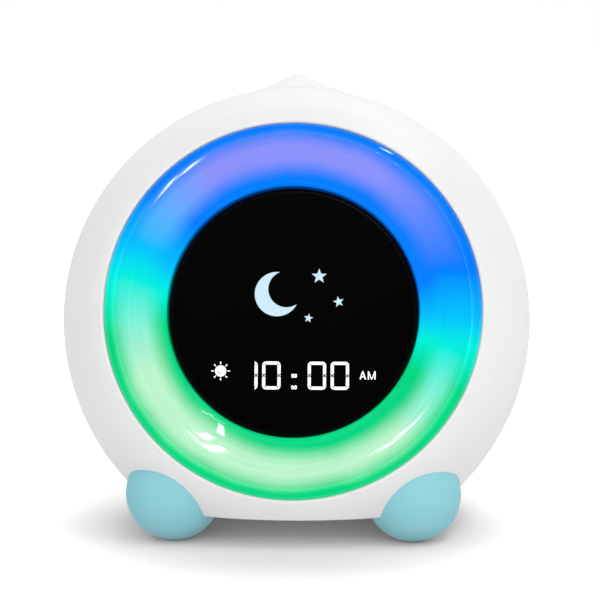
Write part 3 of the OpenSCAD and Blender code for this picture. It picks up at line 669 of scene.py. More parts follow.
def finish_piece(name, bm, finish, slot=None, body="clock", stands_for=(), place=FACE, sharp=32,
                 normals=None):
    """Places a drawn piece, smooths it and ties it to the frame.

    The slot is not used; normals are its corners' own, if known.
    """
    bm.transform(place)
    mesh = bpy.data.meshes.new(name)
    bm.to_mesh(mesh)
    bm.free()
    mesh.materials.append(finish)
    mesh.shade_smooth()
    mesh.set_sharp_from_angle(angle=math.radians(sharp))
    if normals:
        mesh.normals_split_custom_set(normals)
    piece = bpy.data.objects.new(name, mesh)
    scene.collection.objects.link(piece)
    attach(piece, body)
    if stands_for:
        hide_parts(*stands_for)
        dressed.update(stands_for)
    slot or finish.name.split(".")[0]
    print(name, len(mesh.polygons), "faces")


def tidy(bm):
    """Joins doubled points and turns all faces outwards."""
    bmesh.ops.remove_doubles(bm, verts=bm.verts, dist=1e-4)
    bmesh.ops.recalc_face_normals(bm, faces=bm.faces)
    return bm


# %% Draw turned pieces and plates


def spin(profile, steps=192):
    """A closed (radius, height) profile turned round the axis."""
    bm = bmesh.new()
    rings = []
    for r, h in profile:
        if r == 0:
            rings.append([bm.verts.new((0, 0, h))] * steps)
            continue
        circle = [around((0, 0), r, math.tau * k / steps) for k in range(steps)]
        rings.append([bm.verts.new((x, y, h)) for x, y in circle])
    for upper, lower in zip(rings, rings[1:] + rings[:1]):
        for k in range(steps):
            corners = (upper[k], upper[k - 1], lower[k - 1], lower[k])
            corners = [c for n, c in enumerate(corners) if c not in corners[:n]]
            if len(corners) > 2:
                bm.faces.new(corners)
    return tidy(bm)


def add_plate(bm, outline, low, high):
    """A flat solid of an outline between two heights."""
    bottom = [bm.verts.new((x, y, low)) for x, y in outline]
    top = [bm.verts.new((x, y, high)) for x, y in outline]
    bm.faces.new(bottom[::-1])
    bm.faces.new(top)
    for k in range(len(outline)):
        bm.faces.new((bottom[k - 1], bottom[k], top[k], top[k - 1]))


def plate(outline, low, high):
    """One plate by itself."""
    bm = bmesh.new()
    add_plate(bm, outline, low, high)
    return bm


# %% Grow with Geometry Nodes


def new_tree(name, sizes):
    """A tree with geometry in and out and named inputs, as (tree, start, end)."""
    tree = bpy.data.node_groups.new(name, "GeometryNodeTree")
    tree.interface.new_socket("Geometry", in_out="INPUT", socket_type="NodeSocketGeometry")
    for label, kind in sizes:
        tree.interface.new_socket(label, in_out="INPUT", socket_type="NodeSocket" + kind)
    tree.interface.new_socket("Geometry", in_out="OUTPUT", socket_type="NodeSocketGeometry")
    return tree, tree.nodes.new("NodeGroupInput"), tree.nodes.new("NodeGroupOutput")


def end_tree(tree, geometry, finish, end):
    """Every tree ends in real geometry with its finish on it."""
    real = add_node(tree, "GeometryNodeRealizeInstances", {"Geometry": geometry})
    painted = add_node(tree, "GeometryNodeSetMaterial",
                       {"Geometry": real.outputs["Geometry"], "Material": finish})
    tree.links.new(painted.outputs["Geometry"], end.inputs["Geometry"])


def grow(tree, source, sizes):
    """What the tree makes of a source mesh, as a bmesh."""
    carrier = bpy.data.objects.new(tree.name, source)
    scene.collection.objects.link(carrier)
    modifier = carrier.modifiers.new(tree.name, "NODES")
    modifier.node_group = tree
    for item in tree.interface.items_tree:
        if item.in_out == "INPUT" and item.name in sizes:
            modifier[item.identifier] = sizes[item.name]
    grown = bpy.data.meshes.new_from_object(carrier.evaluated_get(bpy.context.evaluated_depsgraph_get()))
    carrier.modifiers.remove(modifier)
    bpy.data.objects.remove(carrier)
    bm = bmesh.new()
    bm.from_mesh(grown)
    bpy.data.meshes.remove(grown)
    return tidy(bm)


# %% Tree: sweep a profile round the axis
sweep, start, end = new_tree("turned_profile",
                             [("Radius", "Float"), ("Steps", "Int"), ("Finish", "Material")])
upright = add_node(sweep, "GeometryNodeTransform",
                   {"Geometry": start.outputs["Geometry"], "Scale": (1, -1, 1)})
profile = add_node(sweep, "GeometryNodeMeshToCurve", {"Mesh": upright.outputs["Geometry"]})
path = add_node(sweep, "GeometryNodeCurvePrimitiveCircle",
                {"Resolution": start.outputs["Steps"], "Radius": start.outputs["Radius"]})
swept = add_node(sweep, "GeometryNodeCurveToMesh",
                 {"Curve": path.outputs["Curve"], "Profile Curve": profile.outputs["Curve"]})
end_tree(sweep, swept.outputs["Mesh"], start.outputs["Finish"], end)
print(sweep.name, "has", len(sweep.nodes), "nodes")

# %% Tree: copy a shape onto marks
copies, start, end = new_tree("copies_on_marks", [("Shape", "Object"), ("Finish", "Material")])
shape = add_node(copies, "GeometryNodeObjectInfo", {"Object": start.outputs["Shape"]})
turned = add_node(copies, "GeometryNodeInputNamedAttribute", {"Name": "turn"})
size = add_node(copies, "GeometryNodeInputNamedAttribute", {"Name": "size"})
spun = add_node(copies, "ShaderNodeCombineXYZ", {"Z": turned.outputs["Attribute"]})
spread = add_node(copies, "ShaderNodeCombineXYZ",
                  {"X": size.outputs["Attribute"], "Y": size.outputs["Attribute"], "Z": 1.0})
placed = add_node(copies, "GeometryNodeInstanceOnPoints", {
    "Points": start.outputs["Geometry"], "Instance": shape.outputs["Geometry"],
    "Rotation": spun.outputs["Vector"], "Scale": spread.outputs["Vector"]})
end_tree(copies, placed.outputs["Instances"], start.outputs["Finish"], end)
print(copies.name, "has", len(copies.nodes), "nodes")

# %% Use the trees


def turned_piece(profile, radius, finish, steps=360):
    """A closed profile of (radius, height) swept round the axis; radius is the middle of the profile."""
    line = bpy.data.meshes.new("profile")
    count = len(profile)
    edges = [(k - 1, k) for k in range(1, count)] + [(count - 1, 0)]
    line.from_pydata([(r - radius, h, 0) for r, h in profile], edges, [])
    return grow(sweep, line, {"Radius": radius, "Steps": steps, "Finish": finish})


def copies_of(shape_bm, marks, finish):
    """Copies of a drawn shape on marks of (x, y, height, turn in degrees, size)."""
    shape_mesh = bpy.data.meshes.new("shape")
    shape_bm.to_mesh(shape_mesh)
    shape_bm.free()
    shape = bpy.data.objects.new("shape", shape_mesh)
    places = bpy.data.meshes.new("marks")
    places.from_pydata([mark[:3] for mark in marks], [], [])
    turns = places.attributes.new("turn", "FLOAT", "POINT")
    sizes = places.attributes.new("size", "FLOAT", "POINT")
    for k, mark in enumerate(marks):
        turns.data[k].value = math.radians(mark[3])
        sizes.data[k].value = mark[4]
    grown = grow(copies, places, {"Shape": shape, "Finish": finish})
    bpy.data.objects.remove(shape)
    return grown


# %% [markdown]
# ## The case
#
# Two gloss shells are moulded to one ideal form: a slice of a sphere, a round shoulder in front and
# behind, a small fillet where the ring sits, and a peak on top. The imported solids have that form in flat
# facets. Sculpting them again would only move them off the frame, so their own meshes are kept. Each
# corner that lies on the skin gets the normal of the ideal form under it, which makes the facets vanish,
# and the blend between the peak and the round body is made in the normals too. The shells meet in a fine
# V groove, as moulded halves do.

# %% Ideal form of the skin
MOUTH_C = (MOUTH_R + MOUTH_ROUND, FRONT_C[1] + math.sqrt(
    (FRONT_ROUND - MOUTH_ROUND) ** 2 - (MOUTH_R + MOUTH_ROUND - FRONT_C[0]) ** 2))
mouth_angle = math.atan2(MOUTH_C[1] - FRONT_C[1], MOUTH_C[0] - FRONT_C[0])
TIP_C = (0, BODY_R + PEAK_RISE - PEAK_TIP)
FLANK_START = Vector(around(TIP_C, PEAK_TIP, math.pi / 2 - PEAK_SLOPE))
FLANK_END = Vector(around((0, 0), BODY_R + PEAK_RIM, math.acos(PEAK_FOOT / BODY_R)))
flank = FLANK_END - FLANK_START
inward = -Vector((-flank.y, flank.x)).normalized()
BLEND_IN, BLEND_OUT = 13.0, 25.0
PEAK_REACH = 10.0
ON_AXIS = 1e-6
print("each flank of the peak is", round(flank.length, 2), "mm long")


def away_from(centre, radius, a, b):
    """Direction from a circle's centre to a point of its plane, and how far the point is off the circle."""
    direction = Vector((a - centre[0], b - centre[1]))
    return direction.normalized(), abs(direction.length - radius)


def turned_skin(r, h):
    """Normal of the turned body's profile beside a point, and how far the point is off it."""
    if h > MOUTH_C[1] and math.atan2(h - MOUTH_C[1], r - MOUTH_C[0]) > mouth_angle:
        return away_from(MOUTH_C, MOUTH_ROUND, r, h)
    if h > BAND_H:
        return away_from(FRONT_C, FRONT_ROUND, r, h)
    if h >= -BAND_H:
        return away_from((0, 0), BODY_R, r, h)
    if r > BACK_C[0]:
        return away_from(BACK_C, BACK_ROUND, r, h)
    return Vector((0, -1)), abs(h - BACK_H)


def peak_skin(rho, v):
    """The same for the peak, which is turned about the line up the face."""
    if rho < FLANK_START.x:
        return away_from(TIP_C, PEAK_TIP, rho, v)
    s = (rho - FLANK_START.x) / flank.x
    on_flank = FLANK_START + flank * s + inward * 4 * PEAK_SAG * s * (1 - s)
    along = flank + inward * 4 * PEAK_SAG * (1 - 2 * s)
    normal = Vector((-along.y, along.x)).normalized()
    return normal, abs(v - on_flank.y) * normal.y


def skin_normal(point):
    """Normal of the ideal skin beside a point in face millimetres, and the point's distance from it."""
    x, v, h = point
    r, rho = math.hypot(x, v), math.hypot(x, h)
    profile, off = turned_skin(r, h)
    body = Vector((0, 0, profile.y))
    if r > ON_AXIS:
        body = Vector((x / r * profile.x, v / r * profile.x, profile.y))
    if v < FLANK_END.y - PEAK_REACH or rho > BLEND_OUT:
        return body, off
    profile, peak_off = peak_skin(rho, v)
    peak = Vector((0, 1, 0))
    if rho > ON_AXIS:
        peak = Vector((x / rho * profile.x, profile.y, h / rho * profile.x))
    share = min(max((rho - BLEND_IN) / (BLEND_OUT - BLEND_IN), 0), 1)
    return peak.lerp(body, share * share * (3 - 2 * share)).normalized(), min(off, peak_off)


# %% Copy a solid and give it known normals
SAME_WAY = 0.88


def copy_of(name, place=FACE):
    """A node's solid in drawing millimetres, its loose triangles joined."""
    bm = bmesh.new()
    bm.from_mesh(nodes[name].data)
    bm.transform(place.inverted())
    bmesh.ops.remove_doubles(bm, verts=bm.verts, dist=0.002)
    return bm


def corner_normals(bm, ideal, near, place=FACE):
    """Normals for every face corner: the ideal form's on its faces, and zero for plain ones elsewhere."""
    turn = place.to_3x3().normalized()
    bm.normal_update()
    known = {vert: ideal(vert.co) for vert in bm.verts}
    normals = []
    for face in bm.faces:
        pairs = [known[vert] for vert in face.verts]
        fits = all(off < near and normal.dot(face.normal) > SAME_WAY for normal, off in pairs)
        normals += [turn @ normal if fits else Vector() for normal, off in pairs]
    return normals


# %% Both shells, with the groove between them
SEAM_WIDTH = 0.3
SEAM_DEPTH = 0.25
NEAR_SEAM = 0.005
NEAR_SKIN = 0.12
NEAR_BELLY = 0.02


def groove_side(bm, side):
    """Slopes the outer edge of the seam, which lies at height 0, down into the groove."""
    bmesh.ops.bisect_plane(bm, geom=bm.verts[:] + bm.edges[:] + bm.faces[:],
                           plane_co=(0, 0, side * SEAM_WIDTH), plane_no=(0, 0, 1))
    for vert in bm.verts:
        if abs(vert.co.z) > NEAR_SEAM:
            continue
        normal, off = skin_normal(vert.co)
        if off < NEAR_SKIN * 2 / 3:
            vert.co -= Vector((normal.x, normal.y, 0)).normalized() * SEAM_DEPTH
        if abs((FACE @ vert.co).z / MM - BELLY_Z) < NEAR_BELLY:
            vert.co.y += SEAM_DEPTH


for name, side in (("front_shell", 1), ("rear_shell", -1)):
    bm = copy_of(name)
    groove_side(bm, side)
    normals = corner_normals(bm, skin_normal, NEAR_SKIN)
    finish_piece(name + "_moulded", bm, shell_white, stands_for=[name], sharp=30, normals=normals)

# %% [markdown]
# ## The feet
#
# Each foot is an aqua moulding with a ball at either end, cut where it meets the body. As with the
# shells, its solid stays and its corners get the normals of the ideal form: the direction away from the
# line between the two balls' centres. The front ball is drawn back a few millimetres, fading out towards
# the back, so that the line where it dives into the body runs as flat as on the real clock. The rubber
# pads move with it.

# %% Both feet
FOOT_R = 16.0
FOOT_SUNK = 0.7
FOOT_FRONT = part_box("foot_left")[0].y / MM + FOOT_R
FRONT_DRAWN_BACK = 3.3
DRAWN_LENGTH = 16.0
NEAR_FOOT = 0.15


def drawn_back(bm):
    """Moves the front ball back, less and less towards the back."""
    for vert in bm.verts:
        behind = min(max((vert.co.y - FOOT_FRONT) / DRAWN_LENGTH, 0), 1)
        vert.co.y += FRONT_DRAWN_BACK * (1 - behind)


def foot_skin(name):
    """Normal and distance for the foot of that name, from the room that its solid takes."""
    low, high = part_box(name)
    low, high = low / MM, high / MM
    middle = low.x + FOOT_R if low.x < 0 else high.x - FOOT_R
    front, back = FOOT_FRONT + FRONT_DRAWN_BACK, high.y - FOOT_R
    height = low.z + FOOT_R - FOOT_SUNK

    def ideal(point):
        nearest = Vector((middle, min(max(point.y, front), back), height))
        away = point - nearest
        return away.normalized(), abs(away.length - FOOT_R)

    return ideal


for name in ("foot_left", "foot_right"):
    bm = copy_of(name, WORLD)
    drawn_back(bm)
    normals = corner_normals(bm, foot_skin(name), NEAR_FOOT, WORLD)
    finish_piece(name + "_moulded", bm, foot_aqua, stands_for=[name], place=WORLD, normals=normals)

pads = copy_of("foot_pads", WORLD)
drawn_back(pads)
finish_piece("foot_pads_smooth", pads, pad_rubber, stands_for=["foot_pads"], place=WORLD, sharp=28)

# %% [markdown]
# ## Window and ring
#
# The window is a disc of tinted acrylic with a rounded edge. The ring is one turned profile: a wall
# beside the window, a front that swells like a quarter of an ellipse up to its crest, a fine bead and
# step, and a low lip that all but touches the case. A tree sweeps that profile round the axis, so that
# its sizes stay open to change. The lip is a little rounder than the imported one, which gives it a softer
# shade.

# %% Window
WINDOW_BEVEL = 0.3
window_profile = (
    [(0, WINDOW_H), (WINDOW_R - WINDOW_BEVEL, WINDOW_H), (WINDOW_R, WINDOW_H + WINDOW_BEVEL)]
    + arc((WINDOW_R - WINDOW_ROUND, WINDOW_FRONT - WINDOW_ROUND), WINDOW_ROUND, 0, 90, 10)
    + [(0, WINDOW_FRONT)])
finish_piece("window", spin(window_profile, 256), window_black, stands_for=["display_window"])

# %% Light ring
BEAD_W = 0.8
BEAD_STEP = 0.6
LIP_ROUND = 1.9
RIM_R = MOUTH_R - 0.05
SEAT_W = 4.3


def ring_front(inset, start, end, steps):
    """The ring's swelling front, a quarter of an ellipse moved inwards by the inset."""
    across, up = CREST_R - RING_IN - inset, RING_SWELL - inset
    angles = [math.radians(start + (end - start) * k / steps) for k in range(steps + 1)]
    return [(CREST_R + across * math.cos(a), CREST_H - RING_SWELL + up * math.sin(a)) for a in angles]


ring_profile = (
    [(RING_IN, WINDOW_H + GAP)]
    + ring_front(0, 180, 90, 32)
    + [(CREST_R + BEAD_W / 2, CREST_H), (CREST_R + BEAD_W, CREST_H - BEAD_STEP)]
    + arc((RIM_R - LIP_ROUND, SEAT_H + RING_LIP - LIP_ROUND), LIP_ROUND, 75, 0, 10)
    + [(RIM_R, SEAT_H), (MOUTH_R - SEAT_W, SEAT_H)]
    + ring_front(RING_WALL, 90, 180, 20)
    + [(RING_IN + RING_WALL, WINDOW_H + GAP)])
ring = turned_piece(ring_profile, CREST_R, ring_glow)
finish_piece("light_ring_diffuser", ring, ring_glow, "ring_diffuser", stands_for=["light_ring"])

# %% [markdown]
# ## What the window shows
#
# The time stands low on the window in white segments, with a sun at its left and AM at its right. Each
# digit is made of a few kinds of segment: corners, bars that end in a point, and small wedges between
# them. Drawn once and copied onto marks, they stay exactly alike. Above the time, a crescent moon and
# three stars shine in pale blue. All signs are thin plates on the window's front, where the eye sees
# their light.

# %% Sizes of the digits and heights of all signs
DIGIT_H = 9.3
DIGIT_W = 6.1
STROKE = 1.04
CHAMFER = 0.8
SEAM = 0.08
CROSS_SEAM = 0.3
DIGIT_PITCH = 7.6
COLON_ROOM = 7.5
TIME_X = 0.4
TIME_DROP = 21.1
SIGN_LOW, SIGN_HIGH = WINDOW_FRONT - 0.03, WINDOW_FRONT + 0.06
PRINT = 0.01
print("a digit is", DIGIT_W, "mm wide and", DIGIT_H, "mm high")

# %% Draw one kind of sign on all its marks


def add_sign(name, outline, marks, finish=sign_white, slot="inner_white", low=SIGN_LOW, high=SIGN_HIGH):
    """A piece of thin plates, one on each mark."""
    finish_piece(name, copies_of(plate(outline, low, high), marks, finish), finish, slot)


# %% Kinds of segment
half = STROKE / 2
bar_end = DIGIT_H / 2 - STROKE - SEAM
corner = [(SEAM - half, SEAM - half), (half, SEAM - half), (half, half - CHAMFER), (half - CHAMFER, half),
          (SEAM - half, half)]
shoulder = half + CROSS_SEAM / 3
bar = [(-half, bar_end), (-half, shoulder), (0, CROSS_SEAM), (half, shoulder), (half, bar_end)]
wedge = [(-half, -CROSS_SEAM), (-CROSS_SEAM * 0.7, 0), (-half, CROSS_SEAM)]
cross_end = DIGIT_W / 2 - STROKE - SEAM
cross_bar = [(-cross_end, -half), (cross_end, -half), (cross_end, half), (-cross_end, half)]
print("a bar is", round(bar_end, 2), "mm long")

# %% Marks of the time 10:00
near_cell = (DIGIT_PITCH + COLON_ROOM) / 2
cells = [-near_cell - DIGIT_PITCH, -near_cell, near_cell, near_cell + DIGIT_PITCH]
stroke_x = (DIGIT_W - STROKE) / 2
corner_y = (DIGIT_H - STROKE) / 2
right_strokes = [cell + stroke_x for cell in cells]
left_strokes = [cell - stroke_x for cell in cells[1:]]


def at_time(x, y, turn=0.0):
    """A mark beside the middle of the time."""
    return (x + TIME_X, y - TIME_DROP, 0, turn, 1)


right_corners, left_corners = ((1, 0), (-1, 270)), ((1, 90), (-1, 180))
corner_marks = [at_time(x, side * corner_y, turn) for x in right_strokes for side, turn in right_corners]
corner_marks += [at_time(x, side * corner_y, turn) for x in left_strokes for side, turn in left_corners]
bar_marks = [at_time(x, 0, turn) for x in right_strokes + left_strokes for turn in (0, 180)]
cross_marks = [at_time(x, side * corner_y) for x in cells[1:] for side in (-1, 1)]
segment_kinds = (("digit_corners", corner, corner_marks), ("digit_bars", bar, bar_marks),
                 ("digit_wedges", wedge, bar_marks), ("digit_cross_bars", cross_bar, cross_marks))
for name, outline, marks in segment_kinds:
    add_sign(name, outline, marks)

# %% Colon
DOT_W, DOT_H, NOTCH = 1.8, 1.3, 0.3
COLON_AT = (0.0, -0.1)
COLON_STEP = 3.85
HOLE_R = 0.17
w, h = DOT_W / 2, DOT_H / 2
half_dot = [(0, NOTCH - h), (NOTCH, -h), (w - NOTCH, -h), (w, NOTCH - h), (w, h - NOTCH / 2),
            (w - NOTCH / 2, h), (NOTCH, h), (0, h - NOTCH)]
dot = half_dot + [(-x, y) for x, y in half_dot[-2:0:-1]]
dot_marks = [at_time(COLON_AT[0], COLON_AT[1] - k * COLON_STEP) for k in (0, 1)]
add_sign("colon_dots", dot, dot_marks)
hole_marks = [(mark[0] + side * DOT_W / 4, *mark[1:]) for mark in dot_marks for side in (-1, 1)]
add_sign("colon_holes", arc((0, 0), HOLE_R, 0, 330, 11), hole_marks, window_black, "window_black",
         SIGN_HIGH - PRINT, SIGN_HIGH + PRINT)

# %% Sun
SUN = (-24.0, -19.7)
SUN_R = 1.88
RAY_FROM, RAY_TO = 2.32, 2.9
RAY_W = 0.22
RAYS = 8
ray = arc((RAY_TO, 0), RAY_W, -80, 80, 8) + arc((RAY_FROM, 0), RAY_W * 0.6, 100, 260, 6)
add_sign("sun_rays", ray, [(*SUN, 0, 360 * k / RAYS, 1) for k in range(RAYS)])
add_sign("sun_disc", arc((0, 0), SUN_R, 0, 350, 35), [(*SUN, 0, 0, 1)])
shade_line = arc((0.4, 0.25), 1.42, 148, 280, 24) + arc((0.45, 0.3), 1.27, 275, 153, 24)
add_sign("sun_line", shade_line, [(*SUN, 0, 0, 1)], magnet_grey, "magnet_grey", SIGN_HIGH,
         SIGN_HIGH + PRINT)

# %% Letters of AM
LETTER_X = 0.4
LETTER_LOW = -22.28
LETTER_H = 2.7
LETTER_STROKE = 0.42
LETTER_A = (21.65, 23.85)
LETTER_M = (24.4, 27.0)
CROSSBAR_HALF = 0.7
CROSSBAR_UP = 0.85


def add_stroke(bm, start, end, width, low=SIGN_LOW, high=SIGN_HIGH):
    """A straight stroke of a letter or a sign."""
    start, end = Vector(start), Vector(end)
    start.x, end.x = start.x + LETTER_X, end.x + LETTER_X
    side = (end - start).normalized().orthogonal() * width / 2
    corners = [start + side, start - side, end - side, end + side]
    add_plate(bm, [tuple(c) for c in corners], low, high)


letters = bmesh.new()
base, top = LETTER_LOW, LETTER_LOW + LETTER_H
inset = LETTER_STROKE / 2
apex = sum(LETTER_A) / 2
for foot_x in (LETTER_A[0] + inset, LETTER_A[1] - inset):
    add_stroke(letters, (foot_x, base), (apex, top), LETTER_STROKE)
crossbar = [(apex + side * CROSSBAR_HALF, base + CROSSBAR_UP) for side in (-1, 1)]
add_stroke(letters, *crossbar, LETTER_STROKE * 0.8)
for post_x in (LETTER_M[0] + inset, LETTER_M[1] - inset):
    add_stroke(letters, (post_x, base), (post_x, top), LETTER_STROKE)
    add_stroke(letters, (post_x, top), (sum(LETTER_M) / 2, base), LETTER_STROKE * 0.8)
finish_piece("letters_am", letters, sign_white, "inner_white")

# %% Moon and stars
MOON = (-5.5, 6.0)
MOON_R = 7.4
MOON_BITE_R = 6.1
MOON_BITE = 3.6
MOON_TURN = 28

tip = math.degrees(math.acos((MOON_R**2 + MOON_BITE**2 - MOON_BITE_R**2) / (2 * MOON_R * MOON_BITE)))
tip_y = MOON_R * math.sin(math.radians(tip))
bite_tip = math.degrees(math.atan2(tip_y, MOON_R * math.cos(math.radians(tip)) - MOON_BITE))
bite = arc((MOON_BITE, 0), MOON_BITE_R, 360 - bite_tip, bite_tip, 36)
crescent = arc((0, 0), MOON_R, tip, 360 - tip, 48) + bite[1:-1]
add_sign("moon", crescent, [(*MOON, 0, MOON_TURN, 1)], sign_pale)
star = [around((0, 0), 1 if k % 2 else 0.42, math.radians(90 + 36 * (k - 1))) for k in range(10)]
star_marks = [(8.5, 12.0, 0, 0, 2.6), (15.0, 3.5, 0, 12, 1.9), (5.0, -2.0, 0, -10, 1.6)]
add_sign("stars", star, star_marks, sign_pale)

# %% [markdown]
# ## Buttons and door at the back
#
# Six round buttons lie on two arcs; each cap is slightly domed, with a soft edge, and has a raised sign.
# They are drawn as seen from behind, in a space whose height points out of the back, and each rides on
# its own body so that it can be pressed. The battery door keeps its solid and gets softer edges.

# %% Room that a node takes on the face


def face_box(name, place=FACE):
    """Lowest and highest corner of a node, in drawing millimetres."""
    points = [place.inverted() @ vert.co for vert in nodes[name].data.vertices]
    return (Vector(map(min, zip(*points))), Vector(map(max, zip(*points))))


# %% Button caps and their signs
CAP_ROUND = 0.6
CAP_DOME = 0.25
STEM_R = 1.6
FLANGE_OUT = 1.3
FLANGE_T = 1.0
SIGN_RAISE = 0.12
SIGN_ROOT = 0.2


def cap_profile(low, high, radius):
    """Profile of a button from the tip of its stem, at low, to its domed cap, at high."""
    flange = -(BACK_H + WALL + GAP)
    rim = radius + FLANGE_OUT
    return ([(0, low), (STEM_R, low), (STEM_R, flange - FLANGE_T), (rim, flange - FLANGE_T), (rim, flange)]
            + [(radius, flange)]
            + arc((radius - CAP_ROUND, high - CAP_ROUND - CAP_DOME), CAP_ROUND, 0, 80, 6)
            + [(radius * k, high - CAP_DOME * k * k) for k in (0.6, 0.3)] + [(0, high)])


def ring_of(bm, centre, outer, inner, low, high, steps=40):
    """A flat ring, as for the rim of a small clock sign."""
    edges = [[around(centre, r, math.tau * k / steps) for k in range(steps)] for r in (outer, inner)]
    for k in range(steps):
        add_plate(bm, [edges[0][k - 1], edges[0][k], edges[1][k], edges[1][k - 1]], low, high)


def draw_sign(kind, low, high):
    """One of the six plain signs, 3 to 4 mm across, round the middle."""
    bm = bmesh.new()
    if kind in ("plus", "minus"):
        add_stroke(bm, (-1.5, 0), (1.5, 0), 0.6, low, high)
    if kind == "plus":
        for side in (-1, 1):
            add_stroke(bm, (0, side * 0.3), (0, side * 1.5), 0.6, low, high)
    if kind == "clock":
        ring_of(bm, (0, 0), 1.8, 1.4, low, high)
        add_stroke(bm, (0, -0.1), (0, 1.05), 0.35, low, high)
        add_stroke(bm, (0.17, 0.0), (0.85, 0.0), 0.35, low, high)
    if kind == "sun":
        add_plate(bm, arc((0, 0), 0.8, 0, 345, 23), low, high)
        for k in range(8):
            ray = Vector(around((0, 0), 1, math.tau * k / 8))
            add_stroke(bm, ray * 1.2, ray * 1.8, 0.32, low, high)
    if kind == "moon":
        add_plate(bm, [(x * 0.25, y * 0.25) for x, y in crescent], low, high)
    if kind == "sound":
        horn = [(-1.5, -0.5), (-0.9, -0.5), (0, -1.3), (0, 1.3), (-0.9, 0.5), (-1.5, 0.5)]
        add_plate(bm, horn, low, high)
        for r in (0.9, 1.5):
            for k in range(6):
                ends = [around((0, 0), r, math.radians(-40 + 80 * (k + e) / 6)) for e in (0, 1)]
                add_stroke(bm, *ends, 0.3, low, high)
    return bm


for k, kind in enumerate(("plus", "minus", "clock", "sound", "sun", "moon")):
    name = "button_" + str(k + 1)
    low, high = face_box(name, BACK)
    middle, radius = (low + high) / 2, (high.x - low.x) / 2 - FLANGE_OUT
    place = BACK @ Matrix.Translation((middle.x, middle.y, 0))
    cap = spin(cap_profile(low.z, high.z, radius), 64)
    finish_piece(name + "_cap", cap, shell_white, body=name, stands_for=[name], place=place)
    sign = draw_sign(kind, high.z - SIGN_ROOT, high.z + SIGN_RAISE)
    finish_piece(name + "_sign", sign, print_grey, "shell_white", body=name, place=place)

# %% Soften the edges of the battery door
SOFT_EDGE = 0.25
SHARP_FROM = math.radians(40)
FLAT_UP_TO = math.radians(0.5)


def softened(name, width):
    """A copy of a node's solid whose sharp edges are rounded off."""
    bm = copy_of(name)
    bmesh.ops.dissolve_limit(bm, angle_limit=FLAT_UP_TO, verts=bm.verts, edges=bm.edges)
    bm.normal_update()
    edges = [e for e in bm.edges if len(e.link_faces) == 2 and e.calc_face_angle(0) > SHARP_FROM]
    bmesh.ops.bevel(bm, geom=edges, offset=width, segments=2, profile=0.5, affect="EDGES",
                    clamp_overlap=True)
    return bm


finish_piece("battery_door_lid", softened("battery_door", SOFT_EDGE), shell_white, body="battery_door",
             stands_for=["battery_door"])

# %% [markdown]
# ## Battery bay
#
# With the door tilted out, three cells show. Each has a printed sleeve with bare metal at both ends, a
# nub at one of them, and a coiled spring presses on the flat end. The cells lie head to tail, as in every
# such bay.

# %% Cells
CELL_R = 5.25
SLEEVE_END = 1.2
NUB_R = 1.89
NUB_RISE = 0.8
CAN_R = CELL_R - SLEEVE_END


def cell_place(name, k):
    """Lays a cell drawn upright along x; every second one points the other way."""
    low, high = face_box(name)
    middle = (low + high) / 2
    turn = Matrix.Rotation(math.radians(90 if k == 1 else -90), 4, "Y")
    return FACE @ Matrix.Translation(middle) @ turn, (high.x - low.x) / 2


for k in range(3):
    name = "battery_cell_" + str(k + 1)
    place, reach = cell_place(name, k)
    can_top = reach - NUB_RISE
    sleeve = spin([(CELL_R - 0.4, -reach + 0.1)] + arc((CELL_R - 0.4, -reach + 0.5), 0.4, -90, 0, 4)
                  + arc((CELL_R - 0.5, can_top - 0.5), 0.5, 0, 90, 4)
                  + [(CAN_R, can_top), (CAN_R, can_top - 0.3), (CAN_R, -reach + 0.1)], 64)
    finish_piece(name + "_sleeve", sleeve, cell_blue, stands_for=[name], place=place)
    can = spin([(0, -reach), (CAN_R + 0.02, -reach), (CAN_R + 0.02, can_top - 0.1), (NUB_R, can_top - 0.1),
                (NUB_R, reach - 0.2), (NUB_R - 0.2, reach), (0, reach)], 64)
    finish_piece(name + "_can", can, contact_nickel, place=place)

# %% Springs
WIRE_R = 0.3
COIL_R_AT_CELL, COIL_R_AT_WALL = 2.0, 4.1
COIL_TURNS = 4
COIL_STEPS = 24
coil, start, end = new_tree("wire", [("Wire", "Float"), ("Finish", "Material")])
path = add_node(coil, "GeometryNodeMeshToCurve", {"Mesh": start.outputs["Geometry"]})
section = add_node(coil, "GeometryNodeCurvePrimitiveCircle",
                   {"Resolution": 8, "Radius": start.outputs["Wire"]})
wire = add_node(coil, "GeometryNodeCurveToMesh", {
    "Curve": path.outputs["Curve"], "Profile Curve": section.outputs["Curve"], "Fill Caps": True})
end_tree(coil, wire.outputs["Mesh"], start.outputs["Finish"], end)


def spring_line(middle, near, far, side):
    """Points of a conical coil along x, from the cell's end to the wall of the bay."""
    points = []
    for k in range(COIL_TURNS * COIL_STEPS + 1):
        share = k / (COIL_TURNS * COIL_STEPS)
        r = COIL_R_AT_CELL + (COIL_R_AT_WALL - COIL_R_AT_CELL) * share
        x = side * (near + (far - near) * share)
        points.append((x, *around(middle.yz, r, math.tau * k / COIL_STEPS)))
    return points


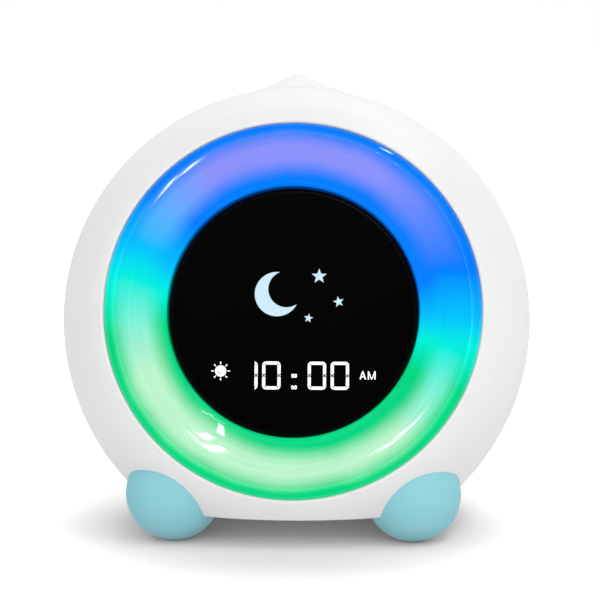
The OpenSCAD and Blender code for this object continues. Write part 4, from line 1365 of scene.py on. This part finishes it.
lines = bpy.data.meshes.new("spring_lines")
points, wires = [], []
wall = face_box("battery_springs")[1].x
for k in range(3):
    low, high = face_box("battery_cell_" + str(k + 1))
    side = -1 if k == 1 else 1
    line = spring_line((low + high) / 2, (high.x - low.x) / 2 + WIRE_R, wall - WIRE_R, side)
    wires += [(len(points) + n, len(points) + n + 1) for n in range(len(line) - 1)]
    points += line
lines.from_pydata(points, wires, [])
springs = grow(coil, lines, {"Wire": WIRE_R, "Finish": contact_nickel})
finish_piece("battery_spring_coils", springs, contact_nickel, stands_for=["battery_springs"])

# %% [markdown]
# ## Power socket and the pieces inside
#
# The socket is a plated shell with round ends and a black tongue that carries two rows of contacts. All
# other pieces sit inside the case. Their solids have the right form, so each gets a copy with joined
# triangles, which can be shaded smooth where it is round.

# %% Contacts of the socket
CONTACTS = 12
CONTACT_STEP = 0.5
CONTACT_L, CONTACT_W = 3.5, 0.26
TONGUE_W, TONGUE_T = 6.62, 0.72


def block(x, y, width, depth, low, high):
    """A block round a point of the face, in millimetres."""
    corners = ((-1, -1), (1, -1), (1, 1), (-1, 1))
    return plate([(x + a * width / 2, y + b * depth / 2) for a, b in corners], low, high)


low, high = face_box("usb_socket")
middle = (low + high) / 2
rows = [(middle.x + side * 0.37, middle.y + (k - (CONTACTS - 1) / 2) * CONTACT_STEP, low.z + 0.9, 0, 1)
        for side in (-1, 1) for k in range(CONTACTS)]
strips = copies_of(block(0, 0, 0.08, CONTACT_W, 0, CONTACT_L), rows, contact_nickel)
finish_piece("socket_contacts", strips, contact_nickel)
tongue = block(middle.x, middle.y, TONGUE_T, TONGUE_W, low.z + 0.75, high.z - 1.7)
finish_piece("socket_tongue", tongue, chip_black)

# %% Every other solid, joined and smoothed
bodies = frame["record"]["behaviour"]["bodies"]
body_of_node = {node: body for body, names in bodies.items() for node in names}
slot_of_node = {part["node"]: part["material_slot"] for part in frame["record"]["subparts"]}
for finish, names in node_finishes.items():
    for name in names:
        if name not in dressed:
            finish_piece(name + "_smooth", copy_of(name), finish, slot_of_node[name],
                         body=body_of_node[name], stands_for=[name], sharp=28)
